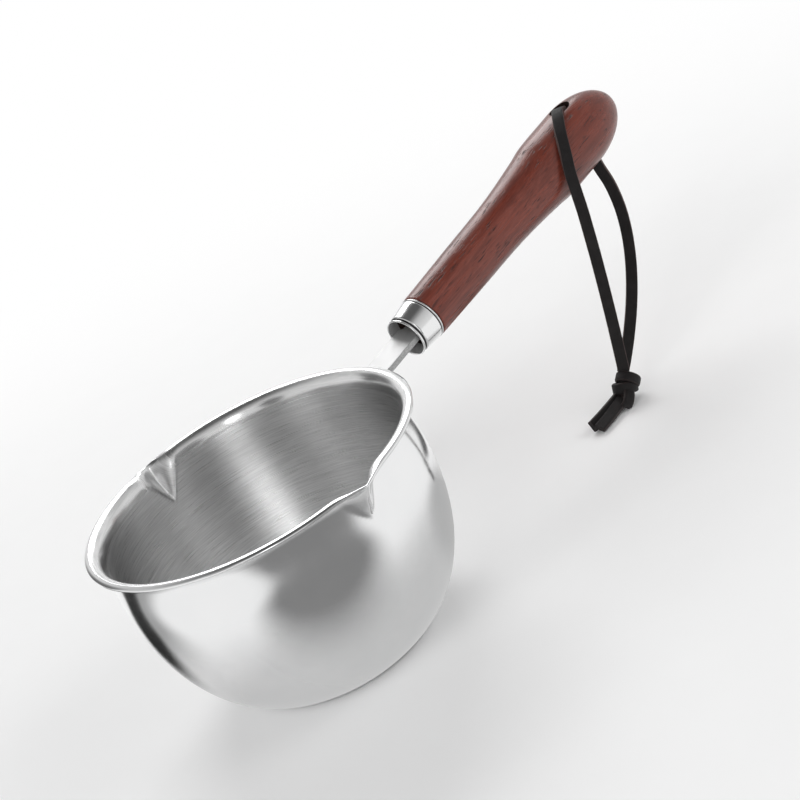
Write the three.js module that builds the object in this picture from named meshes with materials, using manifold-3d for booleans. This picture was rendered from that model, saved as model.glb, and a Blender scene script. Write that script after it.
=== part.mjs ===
// Small steel pot for heating oil: a pressed bowl with a flared lip and two pinched pouring spouts,
// a flat steel tang, a ferrule, a turned wooden grip and a leather lace knotted through the grip.
// Millimetres, +Z up. The origin is the middle of the base, on the surface that the pot stands on.
// +X points along the handle and the spouts are on -Y and +Y.

import * as THREE from 'three';
import { mergeVertices } from 'three/addons/utils/BufferGeometryUtils.js';
import ManifoldModule from 'manifold-3d';

// Bowl
const RIM_RADIUS = 60; // to the outermost edge of the lip
const BOWL_HEIGHT = 72; // base to the crest of the lip
const SHEET = 1.2; // thickness of the pressed steel
const BELLY_RADIUS = 56.5; // outside of the wall at its widest
const BELLY_HEIGHT = 50.5; // height of the widest part
const NECK_PULL_IN = 0.9; // how much narrower the neck is than the belly
const BASE_RADIUS = 31; // where the curved side runs into the flat base
const BASE_EASE = 2.2; // length of the soft corner around the base
const SIDE_ARC = THREE.MathUtils.degToRad(76); // share of the quarter ellipse that the side uses
const FLARE_HEIGHT = 5; // neck to the crest of the lip
const LIP_CURL = THREE.MathUtils.degToRad(112); // how far the lip turns over

// Pouring spouts: on each side a V is pressed into the lip, with a straight crease out to its tip
const SPOUT_REACH = 2.6; // how far the tip stands out past the round lip
const SPOUT_DIP = 1.4; // crest of the lip down to the tip
const SPOUT_DEPTH = 17; // crest of the lip down to the foot of the crease
const SPOUT_HALF_WIDTH = 8.3; // at the tip, from the crease to where the lip is round again

// Handle axis
const HANDLE_TILT = THREE.MathUtils.degToRad(7.7);
const MOUTH_REACH = 20.3; // lip to the mouth of the ferrule
const MOUTH_DROP = 3.1; // crest of the lip down to the middle of the mouth

// Tang
const TANG_WIDTH = 12.5;
const TANG_THICKNESS = 2.2;
const TANG_BEND = 4; // radius of the bend, at mid thickness
const TAB_LENGTH = 17; // of the part welded to the wall
const TAB_CORNER = 4; // radius of the tab's corners
const TONGUE_WIDTH = 8; // of the part inside the grip
const TONGUE_LENGTH = 46;
const SHOULDER_DEPTH = 2.6; // full width ends this far inside the mouth
const SHOULDER_SLOPE = 1.4;

// Ferrule
const FERRULE_LENGTH = 10.6;
const FERRULE_MOUTH_RADIUS = 7.9;
const FERRULE_REAR_RADIUS = 8.9;
const FERRULE_BORE = 7.0;
const FERRULE_RECESS = 4.6; // depth of the open mouth, down to the end of the wood
const FERRULE_BEAD = 0.45; // height of the rolled edges

// Grip
const GRIP_END = 133.2; // mouth of the ferrule to the end of the grip
const GRIP_MAX_RADIUS = 12.9;
const GRIP_MID_RADIUS = 10;
const GRIP_MID_AT = 0.42; // along the turned part, where the swell begins
const GRIP_DOME = 24; // length of the rounded end
const GRIP_EDGE = 0.5; // chamfer against the ferrule

// Hanging hole
const HOLE_FROM_END = 21.7;
const HOLE_RADIUS = 3.4;
const HOLE_ROUNDING = 2.2; // radius of the mouth's rounded edge

// Leather lace
const LACE_WIDTH = 4.3;
const LACE_THICKNESS = 1.9;
const LACE_SLANT = 23.8; // how far the lace runs along the grip while it goes over its side
const LACE_EVEN = 0.4; // share of that slant which is even all the way, the rest eases out
const LACE_WRAP = THREE.MathUtils.degToRad(94); // how far round the grip it lies
const LEG_DROP = 2.5; // underside of the grip to the line on which the loop swings
const LEG_SHIFT = 1; // the back leg leaves the hole this much nearer to the grip's end
const KNOT_RADIUS = 4.2; // of the lump inside the turns
const KNOT_FROM_PIVOT = new THREE.Vector2(-51.3, -21.8); // on the table, from the top of the back leg
const TAIL_LENGTH = 19.2; // from inside the knot to the cut end
const TAIL_SIDE = 1.4; // middle of the knot to the end that stands on its edge
const TAIL_LEAN = THREE.MathUtils.degToRad(17); // how far that end leans over

// Clearances
const GAP = 0.3; // between pieces that touch or enclose one another
const BELOW = 0.3; // lowest point of the knot and ends above the table

// Facets
const SEGMENTS = 40; // steps of the bowl between one spout and the other
const SPOUT_STEPS = 5; // steps on each flank of a spout
const TURNED_SEGMENTS = 36;

const wasm = await ManifoldModule();
wasm.setup();

// A geometry with shared vertices and no slivers, as the boolean operations need it.
function welded(geometry) {
  const plain = new THREE.BufferGeometry();
  plain.setAttribute('position', geometry.getAttribute('position').clone());
  if (geometry.index) plain.setIndex(geometry.index.clone());
  const merged = mergeVertices(plain, 1e-4);
  const index = merged.index.array;
  const kept = [];
  for (let i = 0; i < index.length; i += 3) {
    const [a, b, c] = [index[i], index[i + 1], index[i + 2]];
    if (a !== b && b !== c && c !== a) kept.push(a, b, c);
  }
  merged.setIndex(kept);
  return merged;
}

function solid(geometry) {
  const shape = welded(geometry);
  const vertProperties = new Float32Array(shape.getAttribute('position').array);
  const triVerts = new Uint32Array(shape.index.array);
  return new wasm.Manifold(new wasm.Mesh({ numProp: 3, vertProperties, triVerts }));
}

function geometryOf(body) {
  const mesh = body.getMesh();
  const geometry = new THREE.BufferGeometry();
  geometry.setAttribute('position', new THREE.BufferAttribute(new Float32Array(mesh.vertProperties), 3));
  geometry.setIndex(Array.from(mesh.triVerts));
  return geometry;
}

function piece(name, geometry, look) {
  const shown = geometry.index ? geometry.toNonIndexed() : geometry;
  shown.computeVertexNormals();
  const mesh = new THREE.Mesh(shown, new THREE.MeshStandardMaterial(look));
  mesh.name = name;
  return mesh;
}

const ease = (x) => 0.5 - 0.5 * Math.cos(Math.PI * x);
const steps = (count) => Array.from({ length: count + 1 }, (_, i) => i / count);

// Middle of the bowl's sheet from the axis at the base to the edge of the lip, as points (radius, height).
function sheetLine() {
  const half = SHEET / 2;
  const neckHeight = BOWL_HEIGHT - half - FLARE_HEIGHT;
  const belly = BELLY_RADIUS - half;
  const neck = belly - NECK_PULL_IN;
  const arcWide = (belly - BASE_RADIUS) / (1 - Math.cos(SIDE_ARC));
  const arcHigh = (BELLY_HEIGHT - half) / Math.sin(SIDE_ARC);
  const side = (t) => new THREE.Vector2(
    belly - arcWide * (1 - Math.cos(t)),
    BELLY_HEIGHT - arcHigh * Math.sin(t),
  );
  const corner = side(SIDE_ARC);
  const tangent = side(SIDE_ARC - 0.01).sub(corner).normalize();
  const onSide = corner.clone().addScaledVector(tangent, BASE_EASE);
  const onBase = new THREE.Vector2(corner.x - BASE_EASE, half);
  const soft = new THREE.QuadraticBezierCurve(onBase, corner, onSide);
  const easeArc = SIDE_ARC * (1 - BASE_EASE / (0.8 * (arcWide + arcHigh)));
  const flareWide = (RIM_RADIUS - half - neck) / (1 - Math.cos(LIP_CURL));
  const line = [new THREE.Vector2(0, half), new THREE.Vector2(BASE_RADIUS * 0.5, half)];
  for (const u of steps(3)) line.push(soft.getPoint(u));
  for (const u of steps(11).slice(1)) line.push(side(easeArc * (1 - u)));
  for (const u of steps(4).slice(1)) {
    const height = BELLY_HEIGHT + (neckHeight - BELLY_HEIGHT) * u;
    line.push(new THREE.Vector2(belly - NECK_PULL_IN * ease(u), height));
  }
  for (const u of steps(9).slice(1)) {
    const turn = LIP_CURL * u;
    const radius = neck + flareWide * (1 - Math.cos(turn));
    line.push(new THREE.Vector2(radius, neckHeight + FLARE_HEIGHT * Math.sin(turn)));
  }
  return line;
}

// The line moved sideways by a distance: to the outside of the bowl if it is positive.
function offsetLine(line, distance) {
  return line.map((point, i) => {
    const before = line[Math.max(i - 1, 0)];
    const after = line[Math.min(i + 1, line.length - 1)];
    const along = after.clone().sub(before).normalize();
    const moved = point.clone().add(new THREE.Vector2(along.y, -along.x).multiplyScalar(distance));
    if (i === 0) moved.x = 0;
    return moved;
  });
}

// The sheet's line at an angle from the crease of a spout. In the crease it runs straight from the foot
// to the tip, and on the flanks it goes over to the round lip.
function spoutLine(line, angle) {
  const footHeight = BOWL_HEIGHT - SPOUT_DEPTH;
  const first = line.findIndex((point) => point.y > footHeight);
  const below = line[first - 1];
  const foot = below.clone().lerp(line[first], (footHeight - below.y) / (line[first].y - below.y));
  const tip = new THREE.Vector2(RIM_RADIUS + SPOUT_REACH - SHEET / 2, BOWL_HEIGHT - SHEET / 2 - SPOUT_DIP);
  const upper = [foot, ...line.slice(first)];
  const lengths = [0];
  for (let i = 1; i < upper.length; i += 1) {
    lengths.push(lengths[i - 1] + upper[i].distanceTo(upper[i - 1]));
  }
  const across = Math.abs(angle) * RIM_RADIUS;
  return line.map((point, i) => {
    if (i < first) return point;
    const share = lengths[i - first + 1] / lengths[lengths.length - 1];
    const inCrease = foot.clone().lerp(tip, share);
    return point.clone().lerp(inCrease, Math.max(0, 1 - across / (SPOUT_HALF_WIDTH * share)));
  });
}

// Angles around the bowl, close together on the flanks of the spouts, with the sheet's line there.
function bowlColumns() {
  const line = sheetLine();
  const halfAngle = SPOUT_HALF_WIDTH / RIM_RADIUS;
  const plain = Math.PI - 2 * halfAngle;
  const columns = [];
  for (const middle of [Math.PI / 2, -Math.PI / 2]) {
    for (let i = -SPOUT_STEPS; i < SPOUT_STEPS; i += 1) {
      const from = (i / SPOUT_STEPS) * halfAngle;
      columns.push({ angle: middle + from, line: spoutLine(line, from) });
    }
    for (let i = 0; i < SEGMENTS / 2; i += 1) {
      columns.push({ angle: middle + halfAngle + (plain * i) / (SEGMENTS / 2), line });
    }
  }
  return columns;
}

// Outside, rounded edge and inside of the sheet along one of its lines.
function sheetProfile(line) {
  const outside = offsetLine(line, SHEET / 2);
  const inside = offsetLine(line, -SHEET / 2);
  const end = line[line.length - 1];
  const outward = outside[outside.length - 1].clone().sub(end);
  const along = new THREE.Vector2(-outward.y, outward.x);
  const edge = [0.25, 0.5, 0.75].map((u) => end.clone()
    .addScaledVector(outward, Math.cos(Math.PI * u))
    .addScaledVector(along, Math.sin(Math.PI * u)));
  return [...outside, ...edge, ...inside.reverse()];
}

function bowlGeometry() {
  const columns = bowlColumns();
  const profiles = columns.map(({ line }) => sheetProfile(line));
  const points = [];
  const faces = [];
  const rows = profiles[0].length - 2;
  for (let i = 1; i <= rows; i += 1) {
    columns.forEach(({ angle }, j) => {
      const at = profiles[j][i];
      points.push(at.x * Math.cos(angle), at.x * Math.sin(angle), at.y);
    });
  }
  const count = columns.length;
  const under = rows * count;
  points.push(0, 0, profiles[0][0].y, 0, 0, profiles[0][rows + 1].y);
  for (let j = 0; j < count; j += 1) {
    const k = (j + 1) % count;
    faces.push(under, k, j);
    faces.push(under + 1, (rows - 1) * count + j, (rows - 1) * count + k);
    for (let i = 0; i < rows - 1; i += 1) {
      const low = i * count;
      const high = low + count;
      faces.push(low + j, low + k, high + k);
      faces.push(low + j, high + k, high + j);
    }
  }
  const geometry = new THREE.BufferGeometry();
  geometry.setAttribute('position', new THREE.Float32BufferAttribute(points, 3));
  geometry.setIndex(faces);
  return geometry;
}

// Round body from points (distance along, radius) on its outline, turned about the X axis.
function turned(outline) {
  const points = outline.map(([along, radius]) => new THREE.Vector2(radius, along));
  return new THREE.LatheGeometry(points, TURNED_SEGMENTS).rotateZ(-Math.PI / 2);
}

// Handle axis in the frame of the bowl
const mouth = new THREE.Vector3(RIM_RADIUS + MOUTH_REACH, 0, BOWL_HEIGHT - MOUTH_DROP);
const handleAlong = new THREE.Vector3(Math.cos(HANDLE_TILT), 0, Math.sin(HANDLE_TILT));
const handleUp = new THREE.Vector3(-Math.sin(HANDLE_TILT), 0, Math.cos(HANDLE_TILT));

// A point given by its distance from the mouth, its height over the axis and its side.
function onHandle(along, up, side) {
  const point = mouth.clone().addScaledVector(handleAlong, along).addScaledVector(handleUp, up);
  point.y += side;
  return point;
}

// Bowl side of the tang: a flat bar, bent down into a tab that is shaped to the wall.
function tangGeometry() {
  const tabX = BELLY_RADIUS + GAP + TANG_THICKNESS / 2 - NECK_PULL_IN;
  const barZ = mouth.z - (mouth.x - tabX) * Math.tan(HANDLE_TILT);
  const turn = Math.PI / 2 - HANDLE_TILT;
  const reach = TANG_BEND * Math.tan(turn / 2);
  const centre = new THREE.Vector2(tabX + TANG_BEND, barZ - reach);
  const line = [new THREE.Vector2(tabX, barZ - TAB_LENGTH)];
  for (const u of steps(6)) {
    const angle = Math.PI - turn * u;
    line.push(new THREE.Vector2(Math.cos(angle), Math.sin(angle)).multiplyScalar(TANG_BEND).add(centre));
  }
  const tip = onHandle(FERRULE_RECESS + TONGUE_LENGTH, 0, 0);
  line.push(new THREE.Vector2(tip.x, tip.z));
  const upper = offsetLine(line, -TANG_THICKNESS / 2);
  const lower = offsetLine(line, TANG_THICKNESS / 2);
  upper[0].x = tabX - TANG_THICKNESS / 2;
  lower[0].x = tabX + TANG_THICKNESS / 2;
  const sideView = new THREE.Shape([...lower, ...upper.reverse()]);
  const bar = new THREE.ExtrudeGeometry(sideView, { depth: TANG_WIDTH, bevelEnabled: false });
  bar.translate(0, 0, -TANG_WIDTH / 2).rotateX(Math.PI / 2);

  const shoulder = onHandle(SHOULDER_DEPTH, 0, 0).x;
  const wide = TANG_WIDTH / 2 + 1;
  const narrow = TONGUE_WIDTH / 2;
  const planView = new THREE.Shape();
  planView.moveTo(0, -wide);
  planView.lineTo(shoulder, -wide);
  planView.lineTo(shoulder, -TANG_WIDTH / 2);
  planView.lineTo(shoulder + SHOULDER_SLOPE, -narrow);
  planView.lineTo(tip.x - narrow, -narrow);
  planView.lineTo(tip.x, -narrow / 2);
  planView.lineTo(tip.x, narrow / 2);
  planView.lineTo(tip.x - narrow, narrow);
  planView.lineTo(shoulder + SHOULDER_SLOPE, narrow);
  planView.lineTo(shoulder, TANG_WIDTH / 2);
  planView.lineTo(shoulder, wide);
  planView.lineTo(0, wide);
  const plan = new THREE.ExtrudeGeometry(planView, { depth: 2 * BOWL_HEIGHT, bevelEnabled: false });

  const foot = barZ - TAB_LENGTH;
  const half = TANG_WIDTH / 2;
  const frontView = new THREE.Shape();
  frontView.moveTo(-half + TAB_CORNER, foot);
  frontView.lineTo(half - TAB_CORNER, foot);
  frontView.absarc(half - TAB_CORNER, foot + TAB_CORNER, TAB_CORNER, -Math.PI / 2, 0, false);
  frontView.lineTo(half, 2 * BOWL_HEIGHT);
  frontView.lineTo(-half, 2 * BOWL_HEIGHT);
  frontView.absarc(-half + TAB_CORNER, foot + TAB_CORNER, TAB_CORNER, Math.PI, 1.5 * Math.PI, false);
  const frontDepth = { depth: tip.x + 1, bevelEnabled: false, curveSegments: 6 };
  const front = new THREE.ExtrudeGeometry(frontView, frontDepth).rotateX(Math.PI / 2).rotateZ(Math.PI / 2);

  const wall = offsetLine(sheetLine(), SHEET / 2 + GAP);
  wall.push(new THREE.Vector2(0, wall[wall.length - 1].y));
  const envelope = new THREE.LatheGeometry(wall, 2 * SEGMENTS).rotateX(Math.PI / 2);
  return geometryOf(solid(bar).intersect(solid(plan)).intersect(solid(front)).subtract(solid(envelope)));
}

function ferruleGeometry() {
  const bead = FERRULE_BEAD;
  const rear = FERRULE_LENGTH;
  const bore = FERRULE_BORE;
  return turned([
    [rear, bore],
    [bead, bore],
    [0, bore + bead],
    [0, FERRULE_MOUTH_RADIUS - bead],
    [bead * 0.5, FERRULE_MOUTH_RADIUS + bead * 0.2],
    [bead * 1.6, FERRULE_MOUTH_RADIUS + bead * 0.5],
    [bead * 2.7, FERRULE_MOUTH_RADIUS + bead * 0.2],
    [bead * 3.4, FERRULE_MOUTH_RADIUS],
    [rear * 0.72, FERRULE_MOUTH_RADIUS + (FERRULE_REAR_RADIUS - FERRULE_MOUTH_RADIUS) * 0.5],
    [rear - bead * 3, FERRULE_REAR_RADIUS - bead * 0.5],
    [rear - bead * 1.5, FERRULE_REAR_RADIUS + bead * 0.2],
    [rear - bead * 0.4, FERRULE_REAR_RADIUS + bead * 0.2],
    [rear, FERRULE_REAR_RADIUS - bead * 0.3],
    [rear, bore],
  ]);
}

const gripStart = FERRULE_LENGTH + GAP;

// Radius of the grip at a distance from the mouth: a slim neck, a long swell and a rounded end.
const gripAt = (share) => gripStart + (GRIP_END - gripStart) * share;
const gripCurve = new THREE.SplineCurve([
  new THREE.Vector2(gripStart, FERRULE_REAR_RADIUS),
  new THREE.Vector2(gripAt(GRIP_MID_AT / 2), (FERRULE_REAR_RADIUS + GRIP_MID_RADIUS) / 2),
  new THREE.Vector2(gripAt(GRIP_MID_AT), GRIP_MID_RADIUS),
  new THREE.Vector2(gripAt(0.6), (GRIP_MID_RADIUS + 2 * GRIP_MAX_RADIUS) / 3),
  new THREE.Vector2(GRIP_END - 1.8 * GRIP_DOME, GRIP_MAX_RADIUS * 0.985),
  new THREE.Vector2(GRIP_END - GRIP_DOME, GRIP_MAX_RADIUS),
]);

function gripRadius(along) {
  if (along > GRIP_END - GRIP_DOME) {
    const into = (along - GRIP_END + GRIP_DOME) / GRIP_DOME;
    return GRIP_MAX_RADIUS * Math.sqrt(Math.max(0, 1 - into * into));
  }
  const fine = gripCurve.getPoints(120);
  const next = Math.max(1, fine.findIndex((point) => point.x >= along));
  const [a, b] = [fine[next - 1], fine[next]];
  return a.y + ((b.y - a.y) * (along - a.x)) / (b.x - a.x);
}

const holeAlong = GRIP_END - HOLE_FROM_END;

// Grip with the spigot that goes into the ferrule, the slot for the tang's tongue and the hanging hole.
function gripGeometry() {
  const spigot = FERRULE_BORE - GAP;
  const outline = [
    [FERRULE_RECESS, 0],
    [FERRULE_RECESS, spigot],
    [gripStart, spigot],
    [gripStart, FERRULE_REAR_RADIUS - GRIP_EDGE],
  ];
  for (const u of steps(16)) {
    const along = gripStart + GRIP_EDGE + (GRIP_END - GRIP_DOME - gripStart - GRIP_EDGE) * u;
    outline.push([along, gripRadius(along)]);
  }
  for (const u of steps(9).slice(1, -1)) {
    const turn = (Math.PI / 2) * u;
    outline.push([GRIP_END - GRIP_DOME * (1 - Math.sin(turn)), GRIP_MAX_RADIUS * Math.cos(turn)]);
  }
  outline.push([GRIP_END, 0]);

  const slotDepth = TONGUE_LENGTH + 2 * GAP;
  const slot = new THREE.BoxGeometry(slotDepth + 1, TONGUE_WIDTH + 2 * GAP, TANG_THICKNESS + 2 * GAP);
  slot.translate(FERRULE_RECESS + (slotDepth - 1) / 2, 0, 0);

  const bottom = GRIP_MAX_RADIUS - HOLE_ROUNDING;
  const cutter = [[-GRIP_MAX_RADIUS - 2, 0], [-GRIP_MAX_RADIUS - 2, HOLE_RADIUS + HOLE_ROUNDING]];
  for (const u of steps(5)) {
    const turn = (Math.PI / 2) * u;
    const radius = HOLE_RADIUS + HOLE_ROUNDING * (1 - Math.sin(turn));
    cutter.push([-bottom - HOLE_ROUNDING * Math.cos(turn), radius]);
  }
  const mirrored = cutter.map(([along, radius]) => [-along, radius]).reverse();
  const hole = turned([...cutter, ...mirrored]).rotateY(-Math.PI / 2).translate(holeAlong, 0, 0);
  return geometryOf(solid(turned(outline)).subtract(solid(slot)).subtract(solid(hole)));
}

// Flat lace along a curve. facing gives the way its flat side faces, for a share of the length and a point.
// A rounded start narrows to a ball as thick as the lace, so that it can turn in its place.
function laceGeometry(curve, count, facing, roundedStart = false) {
  const halfWide = LACE_WIDTH / 2;
  const halfThick = LACE_THICKNESS / 2;
  const bevel = halfThick * 0.45;
  const section = [
    [halfWide, -halfThick + bevel], [halfWide, halfThick - bevel],
    [halfWide - bevel, halfThick], [-halfWide + bevel, halfThick],
    [-halfWide, halfThick - bevel], [-halfWide, -halfThick + bevel],
    [-halfWide + bevel, -halfThick], [halfWide - bevel, -halfThick],
  ];
  const length = curve.getLength();
  const places = steps(count).map((u) => ({ u, wide: 1, thick: 1 }));
  if (roundedStart) {
    const ball = [0.1, 0.45, 1].map((v) => {
      const round = Math.sqrt(1 - (1 - v) ** 2);
      return { u: (halfThick * v) / length, wide: (round * halfThick) / halfWide, thick: round };
    });
    places.splice(0, 1, ...ball, { u: (halfThick + halfWide) / length, wide: 1, thick: 1 });
  }
  const points = [];
  for (const { u, wide, thick } of places) {
    const at = curve.getPointAt(u);
    const along = curve.getTangentAt(u);
    const face = facing(u, at);
    const across = new THREE.Vector3().crossVectors(face, along).normalize();
    face.crossVectors(along, across).normalize();
    for (const [x, y] of section) {
      const corner = at.clone().addScaledVector(across, x * wide).addScaledVector(face, y * thick);
      points.push(corner.x, corner.y, corner.z);
    }
  }
  const sides = section.length;
  const faces = [];
  for (let i = 0; i < places.length - 1; i += 1) {
    for (let j = 0; j < sides; j += 1) {
      const k = (j + 1) % sides;
      const [a, b] = [i * sides, (i + 1) * sides];
      faces.push(a + j, a + k, b + k, a + j, b + k, b + j);
    }
  }
  const last = (places.length - 1) * sides;
  for (let j = 1; j < sides - 1; j += 1) {
    faces.push(0, j + 1, j);
    faces.push(last, last + j, last + j + 1);
  }
  const geometry = new THREE.BufferGeometry();
  geometry.setAttribute('position', new THREE.Float32BufferAttribute(points, 3));
  geometry.setIndex(faces);
  return geometry;
}

// Route of the lace. It comes up through the hole, goes slantwise over the side of the grip and hangs down.
const laceOver = LACE_THICKNESS / 2 + GAP; // middle of the lace above what it lies on
const ballRadius = LACE_THICKNESS / 2; // rounded top of each leg, on the line about which the loop swings
const bridgeEnd = new THREE.Vector3(0, 0, ballRadius + GAP); // from that line up to the end of the bridge
const backPivot = onHandle(holeAlong + LEG_SHIFT, -GRIP_MAX_RADIUS - LEG_DROP, 0);
const slant = LACE_SLANT * (Math.PI / 2 / LACE_WRAP);
const slantDirection = new THREE.Vector2(-slant, -(GRIP_MAX_RADIUS + laceOver)).normalize();

function overGrip(share) {
  const turn = LACE_WRAP * share;
  const run = LACE_EVEN * share + (1 - LACE_EVEN) * Math.sin((Math.PI / 2) * share);
  const along = holeAlong - LACE_SLANT * run;
  const radius = gripRadius(along) + laceOver;
  return onHandle(along, radius * Math.cos(turn), -radius * Math.sin(turn));
}

const leaving = overGrip(1);
const frontPivot = new THREE.Vector3(leaving.x - 1.3, leaving.y - 0.9, backPivot.z);

function fromHole(out, up) {
  return onHandle(holeAlong + slantDirection.x * out, up, slantDirection.y * out);
}

const bridgeTop = GRIP_MAX_RADIUS + laceOver;
const bridgeRoute = new THREE.CatmullRomCurve3([
  backPivot.clone().add(bridgeEnd),
  fromHole(0, 0),
  fromHole(0.6, bridgeTop - 6.5),
  fromHole(1.3, bridgeTop - 3.45),
  fromHole(2.4, bridgeTop - 1.05),
  fromHole(4.3, bridgeTop + 0.1),
  overGrip(0.22),
  overGrip(0.45),
  overGrip(0.7),
  overGrip(0.88),
  leaving,
  frontPivot.clone().lerp(leaving, 0.5).add(new THREE.Vector3(0.15, -0.25, 0)),
  frontPivot.clone().add(bridgeEnd),
], false, 'centripetal');

// Knot and legs. The knot rests on the table, and the two legs of the loop come together above it.
const knotTurnRadius = KNOT_RADIUS + LACE_THICKNESS * 0.35;
const knotReach = knotTurnRadius + LACE_THICKNESS / 2;
const knot = new THREE.Vector3(
  backPivot.x + KNOT_FROM_PIVOT.x,
  backPivot.y + KNOT_FROM_PIVOT.y,
  knotReach + BELOW,
);
const towardsPhotographer = new THREE.Vector3(-0.5, -0.77, 0.38).normalize();
const legSpacing = LACE_THICKNESS + GAP;
const legsMeet = knot.clone().add(new THREE.Vector3(2, -0.1, knotReach * 0.72 - 0.6));
const frontEnd = legsMeet.clone().addScaledVector(towardsPhotographer, legSpacing / 2);
const backEnd = legsMeet.clone().addScaledVector(towardsPhotographer, -legSpacing / 2);
const ballTop = new THREE.Vector3(0, 0, ballRadius);
const frontRoute = new THREE.CubicBezierCurve3(
  frontPivot.clone().add(ballTop),
  frontPivot.clone().lerp(frontEnd, 0.33).add(new THREE.Vector3(1.6, 0.5, 0)),
  frontPivot.clone().lerp(frontEnd, 0.67).add(new THREE.Vector3(1.6, 0.7, 0)),
  frontEnd,
);
const backRoute = new THREE.CubicBezierCurve3(
  backPivot.clone().add(ballTop),
  backPivot.clone().add(new THREE.Vector3(6.9, -1.7, -26)),
  backEnd.clone().add(new THREE.Vector3(28.4, 9.6, 11)),
  backEnd,
);
const laceSide = new THREE.Vector3(0.84, 0.54, 0); // the way the flat side of the lace faces in the hole

// Knot: the two turns of an overhand knot pulled tight around the lump of lace inside them.
// grow makes all of it larger.
function knotBody(grow) {
  const wide = LACE_WIDTH * 0.46 + grow;
  const thick = LACE_THICKNESS / 2 + grow;
  const section = new THREE.Shape().absellipse(knotTurnRadius, 0, thick, wide, 0, 2 * Math.PI, false);
  const outline = section.getPoints(5);
  const turn = (tilt, yaw) => solid(new THREE.LatheGeometry(outline, 18).rotateX(tilt).rotateZ(yaw));
  const lump = solid(new THREE.SphereGeometry(KNOT_RADIUS + 0.25 + grow, 18, 12));
  return lump.add(turn(0.5, 0.6)).add(turn(1.75, 2.2)).translate([knot.x, knot.y, knot.z]);
}

// A lace that runs into the knot ends face to face with it.
const toKnot = (geometry) => geometryOf(solid(geometry).subtract(knotBody(GAP)));

// The cut ends lie side by side along the handle: one leans on its edge, the other is flat on the table.
const leaningHalf = (LACE_THICKNESS * Math.cos(TAIL_LEAN) + LACE_WIDTH * Math.sin(TAIL_LEAN)) / 2;
const leaningLevel = (LACE_WIDTH * Math.cos(TAIL_LEAN) + LACE_THICKNESS * Math.sin(TAIL_LEAN)) / 2 + BELOW;
const flatLevel = LACE_THICKNESS / 2 + BELOW;
const flatSide = TAIL_SIDE - leaningHalf - LACE_WIDTH / 2 - 2 * GAP;

function tailRoute(side, level) {
  const start = new THREE.Vector3(knot.x - knotReach * 0.6, knot.y + side, level + 1.1);
  const end = new THREE.Vector3(start.x - TAIL_LENGTH, start.y, level);
  const middle = start.clone().lerp(end, 0.45);
  middle.z = level + 0.15;
  return new THREE.QuadraticBezierCurve3(start, middle, end);
}

const polished = { color: 0xd9dbdc, roughness: 0.12, metalness: 1 };
const bare = { color: 0xb9bbbd, roughness: 0.32, metalness: 1 };
const rosewood = { color: 0x6e3730, roughness: 0.42, metalness: 0 };
const leather = { color: 0x2a2425, roughness: 0.7, metalness: 0 };

const bowl = piece('bowl', bowlGeometry(), polished);
const tang = piece('tang', tangGeometry(), bare);

const handle = new THREE.Group();
handle.name = 'handle';
handle.position.copy(mouth);
handle.rotation.y = -HANDLE_TILT;
handle.add(piece('ferrule', ferruleGeometry(), { ...polished }));
handle.add(piece('grip', gripGeometry(), rosewood));

// Inside the hole the lace faces along the grip, and outside it lies flat on the wood.
function bridgeFacing(share, at) {
  const from = at.clone().sub(mouth);
  const height = from.dot(handleUp);
  const outward = handleUp.clone().multiplyScalar(height);
  outward.y = at.y;
  const out = THREE.MathUtils.smoothstep(Math.hypot(height, at.y), GRIP_MAX_RADIUS - 6, GRIP_MAX_RADIUS - 1);
  return share < 0.2 ? laceSide.clone() : laceSide.clone().lerp(outward.normalize(), out);
}

const turning = (from, to) => (share) => from.clone().lerp(to, share);
const bridge = laceGeometry(bridgeRoute, 32, bridgeFacing);
const frontFacing = turning(new THREE.Vector3(0, -1, 0), towardsPhotographer);
const backFacing = turning(laceSide.clone().negate(), towardsPhotographer);
const leaning = () => new THREE.Vector3(0, -Math.cos(TAIL_LEAN), Math.sin(TAIL_LEAN));
const lying = () => new THREE.Vector3(0, 0, 1);

const strap = new THREE.Group();
strap.name = 'strap';
strap.add(piece('strap_bridge', bridge, leather));
strap.add(piece('strap_front_leg', toKnot(laceGeometry(frontRoute, 9, frontFacing, true)), { ...leather }));
strap.add(piece('strap_back_leg', toKnot(laceGeometry(backRoute, 12, backFacing, true)), { ...leather }));
strap.add(piece('strap_knot', geometryOf(knotBody(0)), { ...leather }));
const leaningEnd = laceGeometry(tailRoute(TAIL_SIDE, leaningLevel), 5, leaning);
const flatEnd = laceGeometry(tailRoute(flatSide, flatLevel), 5, lying);
strap.add(piece('strap_end_left', toKnot(leaningEnd), { ...leather }));
strap.add(piece('strap_end_right', toKnot(flatEnd), { ...leather }));

const pot = new THREE.Group();
pot.name = 'oil_pot';
pot.add(bowl, tang, handle, strap);

export default pot;
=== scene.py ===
# Finished look of the oil heating pot, in metres: origin at the middle of the base, handle along +X, +Z up

from math import cos, hypot, pi, radians, sin, sqrt, tan

import bpy
from mathutils import Matrix, Vector


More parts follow.
